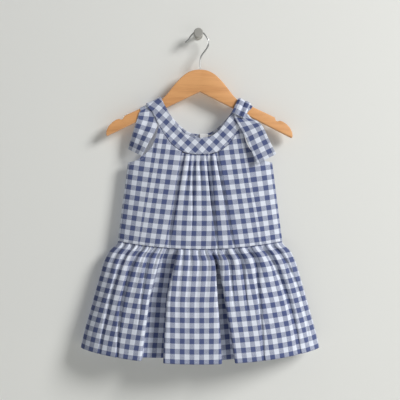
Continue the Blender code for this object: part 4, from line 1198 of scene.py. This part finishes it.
BACK_VALLEYS = (
    (-0.2585, -0.2522, -0.2432, 0.002, 0.010, 0.50, 0.50, 0.40, 1.20, 1.20, 0.0),
    (-0.1962, -0.1997, -0.1995, 0.001, 0.002, 0.35, 0.20, 0.00, 1.20, 1.20, 0.0),
    (-0.1246, -0.1262, -0.1267, 0.008, 0.026, 0.80, 0.85, 0.85, 1.45, 1.45, 0.2),
    (-0.0502, -0.0514, -0.0538, 0.001, 0.002, 0.35, 0.15, 0.00, 1.20, 1.20, 0.0),
    (0.0216, 0.0208, 0.0236, 0.004, 0.016, 0.70, 0.75, 0.75, 1.40, 1.45, 0.1),
    (0.0923, 0.0891, 0.0868, 0.001, 0.002, 0.35, 0.20, 0.10, 1.20, 1.20, 0.0),
    (0.1611, 0.1603, 0.1584, 0.006, 0.022, 0.80, 0.85, 0.85, 1.45, 1.40, -0.2),
    (0.2296, 0.2301, 0.2266, 0.001, 0.003, 0.35, 0.30, 0.20, 1.20, 1.20, 0.0),
    (0.2606, 0.2674, 0.2660, 0.002, 0.004, 0.25, 0.20, 0.12, 1.00, 1.00, 0.0),
)
VALLEY_SHARES = (0.1, 0.45, 1.0)
RIDGE_ROUND = 0.010
ROOT_ROUND = 0.012


def skirt_half(side, seam, valley_table, seed, rows, steps):
    """Grid and cloth places of half of the skirt tier. seam is the lowest row of the body panel."""
    direction = -1.0 if side == "front" else 1.0
    slope = puckers(SKIRT_GATHERS, SKIRT_CUT, seed)
    uneven = wander(SKIRT_CUT, seed + 1, 0.30)
    columns = np.linspace(-0.5, 0.5, steps + 1)

    grid = []
    for share in rows:
        table = [smooth_value(share, SKIRT_ROWS[:, 0], SKIRT_ROWS[:, k]) for k in range(1, 5)]
        half, front_y, back_y, side_y = table
        middle_y = front_y if side == "front" else back_y
        cut = SKIRT_CUT - 2 * EDGE_CLOTH_SHARE * abs(middle_y - side_y)

        def gathers(u):
            reached = np.clip(share * (1.0 + uneven(u)), 0.0, 1.0)
            return smooth_value(reached, SKIRT_ROWS[:, 0], SKIRT_ROWS[:, 5]) * slope(u * SKIRT_CUT / cut)

        def valleys(u, flank):
            angle = np.zeros_like(u)
            for *places, narrow, wide, small, middling, large, left, right, tilt in valley_table:
                middle = smooth_value(share, VALLEY_SHARES, places)
                size = smooth_value(share, VALLEY_SHARES, (small, middling, large))
                floor = narrow + (wide - narrow) * share
                faint = min(1.0, size / FOLD_FAINT)
                shape = (floor, flank * size, left, right, RIDGE_ROUND, ROOT_ROUND, tilt)
                angle += faint * valley_angle(u, middle, *shape)
            return angle

        u, across, out = laid_row(cut, 2 * half, gathers, valleys)
        x = np.interp(columns * cut, u, across)
        near_side = np.clip((half - np.abs(x)) / SIDE_FADE, 0.0, 1.0)
        room = FOLD_ROOM * abs(middle_y - side_y) * pillow(x / half) + 0.0001
        below = share * SKIRT_DROP_MIDDLE
        inward = np.minimum(room, FOLD_AT_WAIST + FOLD_GROWTH[0] * below)
        outward = min(FOLD_MOST_OUTWARD, FOLD_AT_WAIST + FOLD_GROWTH[1] * below)
        fold = limited(np.interp(columns * cut, u, out) * near_side, inward, outward)
        middle_z = WAIST_MIDDLE_Z - SEAM_GAP - share * SKIRT_DROP_MIDDLE
        side_z = WAIST_SIDE_Z - SEAM_GAP - share * SKIRT_DROP_SIDE
        z = middle_z + (side_z - middle_z) * (x / half) ** 2 - HEM_LIFT * share * np.minimum(fold, 0.0)
        y = side_y + (middle_y - side_y) * pillow(x / half)
        place = x / half * WAIST_HALF_WIDTH
        swing = np.interp(place, seam[:, 0], seam[:, 1]) - body_y(place, waist_z(place), side)
        y = y + swing * max(0.0, 1.0 - 3.0 * share) + direction * fold
        y[0] = y[-1] = side_y + direction * SIDE_SEAM_GAP
        grid.append(np.stack([x, y, z], axis=1))
    u, v = np.meshgrid(columns * SKIRT_CUT, np.array(rows) * SKIRT_LENGTH)
    return np.array(grid), np.stack([u, v], axis=-1)


skirt_rows = np.linspace(0.0, 1.0, 97) ** 1.25
skirt_front_grid, skirt_front_cut = skirt_half(
    "front", front_grid[0], FRONT_VALLEYS, seed=51, rows=skirt_rows, steps=500,
)
skirt_front_grid = crumpled(skirt_front_grid, TO_ROOM, depth=0.0007, seed=53)
skirt_front_cut += np.array([0.0013, -0.0065])
skirt_front = cloth_piece("skirt_tier_front", "skirt_front", skirt_front_grid, skirt_front_cut)
hem_line = inset_line(skirt_front_grid, TO_ROOM, "end", SKIRT_HEM, first=1, last=-1)
front_hem_stitches = stitched("front_hem_stitches", [hem_line], 7)

skirt_back_grid, skirt_back_cut = skirt_half(
    "back", back_panel_grid[0], BACK_VALLEYS, seed=61, rows=skirt_rows, steps=400,
)
skirt_back_grid = crumpled(skirt_back_grid, TO_WALL, depth=0.0007, seed=63)
skirt_back = cloth_piece("skirt_tier_back", "skirt_back", skirt_back_grid, skirt_back_cut)
hem_line = inset_line(skirt_back_grid, TO_WALL, "end", SKIRT_HEM, first=1, last=-1)
back_hem_stitches = stitched("back_hem_stitches", [hem_line], 8)


# Wall, floor, light and camera
# A plain pale wall behind the peg, a plain pale floor below, a broad soft light from the upper right, and the
# camera straight in front of the dress.

WALL_COLOUR = (0.83, 0.83, 0.795)
VIEW_WIDTH = 0.76
VIEW_DISTANCE = 1.40
VIEW_PLANE_Y = -0.030
VIEW_CENTRE = (0.00285, -0.3186)
WALL_Y = 0.0002
WALL_REACH = 3.0
WALL_TOP_Z = 2.0
FLOOR_Z = -1.10
FLOOR_REACH = 4.0
LIGHT_TARGET = (0.0, 0.0, -0.33)


def painted_wall():
    """Pale paint that the camera sees from the room's side only, so the back of the dress can be seen."""
    finish, nodes, links, shader = new_finish("painted_wall", WALL_COLOUR, 0.95)
    shader.inputs["Specular IOR Level"].default_value = 0.1
    side = nodes.new("ShaderNodeNewGeometry")
    light = nodes.new("ShaderNodeLightPath")
    front = nodes.new("ShaderNodeMath")
    front.operation = "SUBTRACT"
    links.new(light.outputs["Is Camera Ray"], front.inputs[0])
    links.new(side.outputs["Backfacing"], front.inputs[1])
    shown = nodes.new("ShaderNodeMath")
    shown.operation = "MAXIMUM"
    links.new(front.outputs["Value"], shown.inputs[0])
    shown.inputs[1].default_value = 0.0
    clear = nodes.new("ShaderNodeBsdfTransparent")
    either = nodes.new("ShaderNodeMixShader")
    links.new(shown.outputs["Value"], either.inputs["Fac"])
    links.new(clear.outputs["BSDF"], either.inputs[1])
    links.new(shader.outputs["BSDF"], either.inputs[2])
    links.new(either.outputs["Shader"], nodes["Material Output"].inputs["Surface"])
    return finish


def plain_sheet(name, corners, finish):
    """One flat face through four corners."""
    mesh = bpy.data.meshes.new(name)
    mesh.from_pydata(corners, [], [(0, 1, 2, 3)])
    mesh.materials.append(finish)
    sheet = bpy.data.objects.new(name, mesh)
    bpy.context.scene.collection.objects.link(sheet)
    return sheet


wall_corners = [(x * WALL_REACH, WALL_Y, z)
                for x, z in ((-1, FLOOR_Z), (1, FLOOR_Z), (1, WALL_TOP_Z), (-1, WALL_TOP_Z))]
floor_corners = [(x * FLOOR_REACH, y * FLOOR_REACH, FLOOR_Z) for x, y in ((-1, -1), (1, -1), (1, 1), (-1, 1))]
wall = plain_sheet("wall", wall_corners, painted_wall())
floor = plain_sheet("floor", floor_corners, new_finish("painted_floor", WALL_COLOUR, 0.9)[0])


def soft_light(name, place, size, watts):
    """A round softbox at a place, turned to the dress."""
    data = bpy.data.lights.new(name, "AREA")
    data.shape = "DISK"
    data.size = size
    data.energy = watts
    lamp = bpy.data.objects.new(name, data)
    lamp.location = place
    lamp.rotation_euler = (Vector(LIGHT_TARGET) - Vector(place)).to_track_quat("-Z", "Y").to_euler()
    bpy.context.scene.collection.objects.link(lamp)


soft_light("window_light", (3.6, -2.75, 1.9), 1.9, 216.0)
soft_light("back_light", (-1.2, 1.8, 0.5), 1.2, 26.0)

world = bpy.data.worlds.new("studio")
world.use_nodes = True
sky = world.node_tree.nodes["Background"]
sky.inputs["Color"].default_value = (0.93, 0.96, 1.0, 1.0)
sky.inputs["Strength"].default_value = 0.205
bpy.context.scene.world = world
bpy.context.scene.view_settings.view_transform = "Standard"

camera = bpy.data.objects.new("camera", bpy.data.cameras.new("camera"))
camera.data.sensor_width = 36.0
camera.data.lens = camera.data.sensor_width * VIEW_DISTANCE / VIEW_WIDTH
camera.location = (VIEW_CENTRE[0], VIEW_PLANE_Y - VIEW_DISTANCE, VIEW_CENTRE[1])
camera.rotation_euler = (math.radians(90.0), 0.0, 0.0)
bpy.context.scene.collection.objects.link(camera)
bpy.context.scene.camera = camera
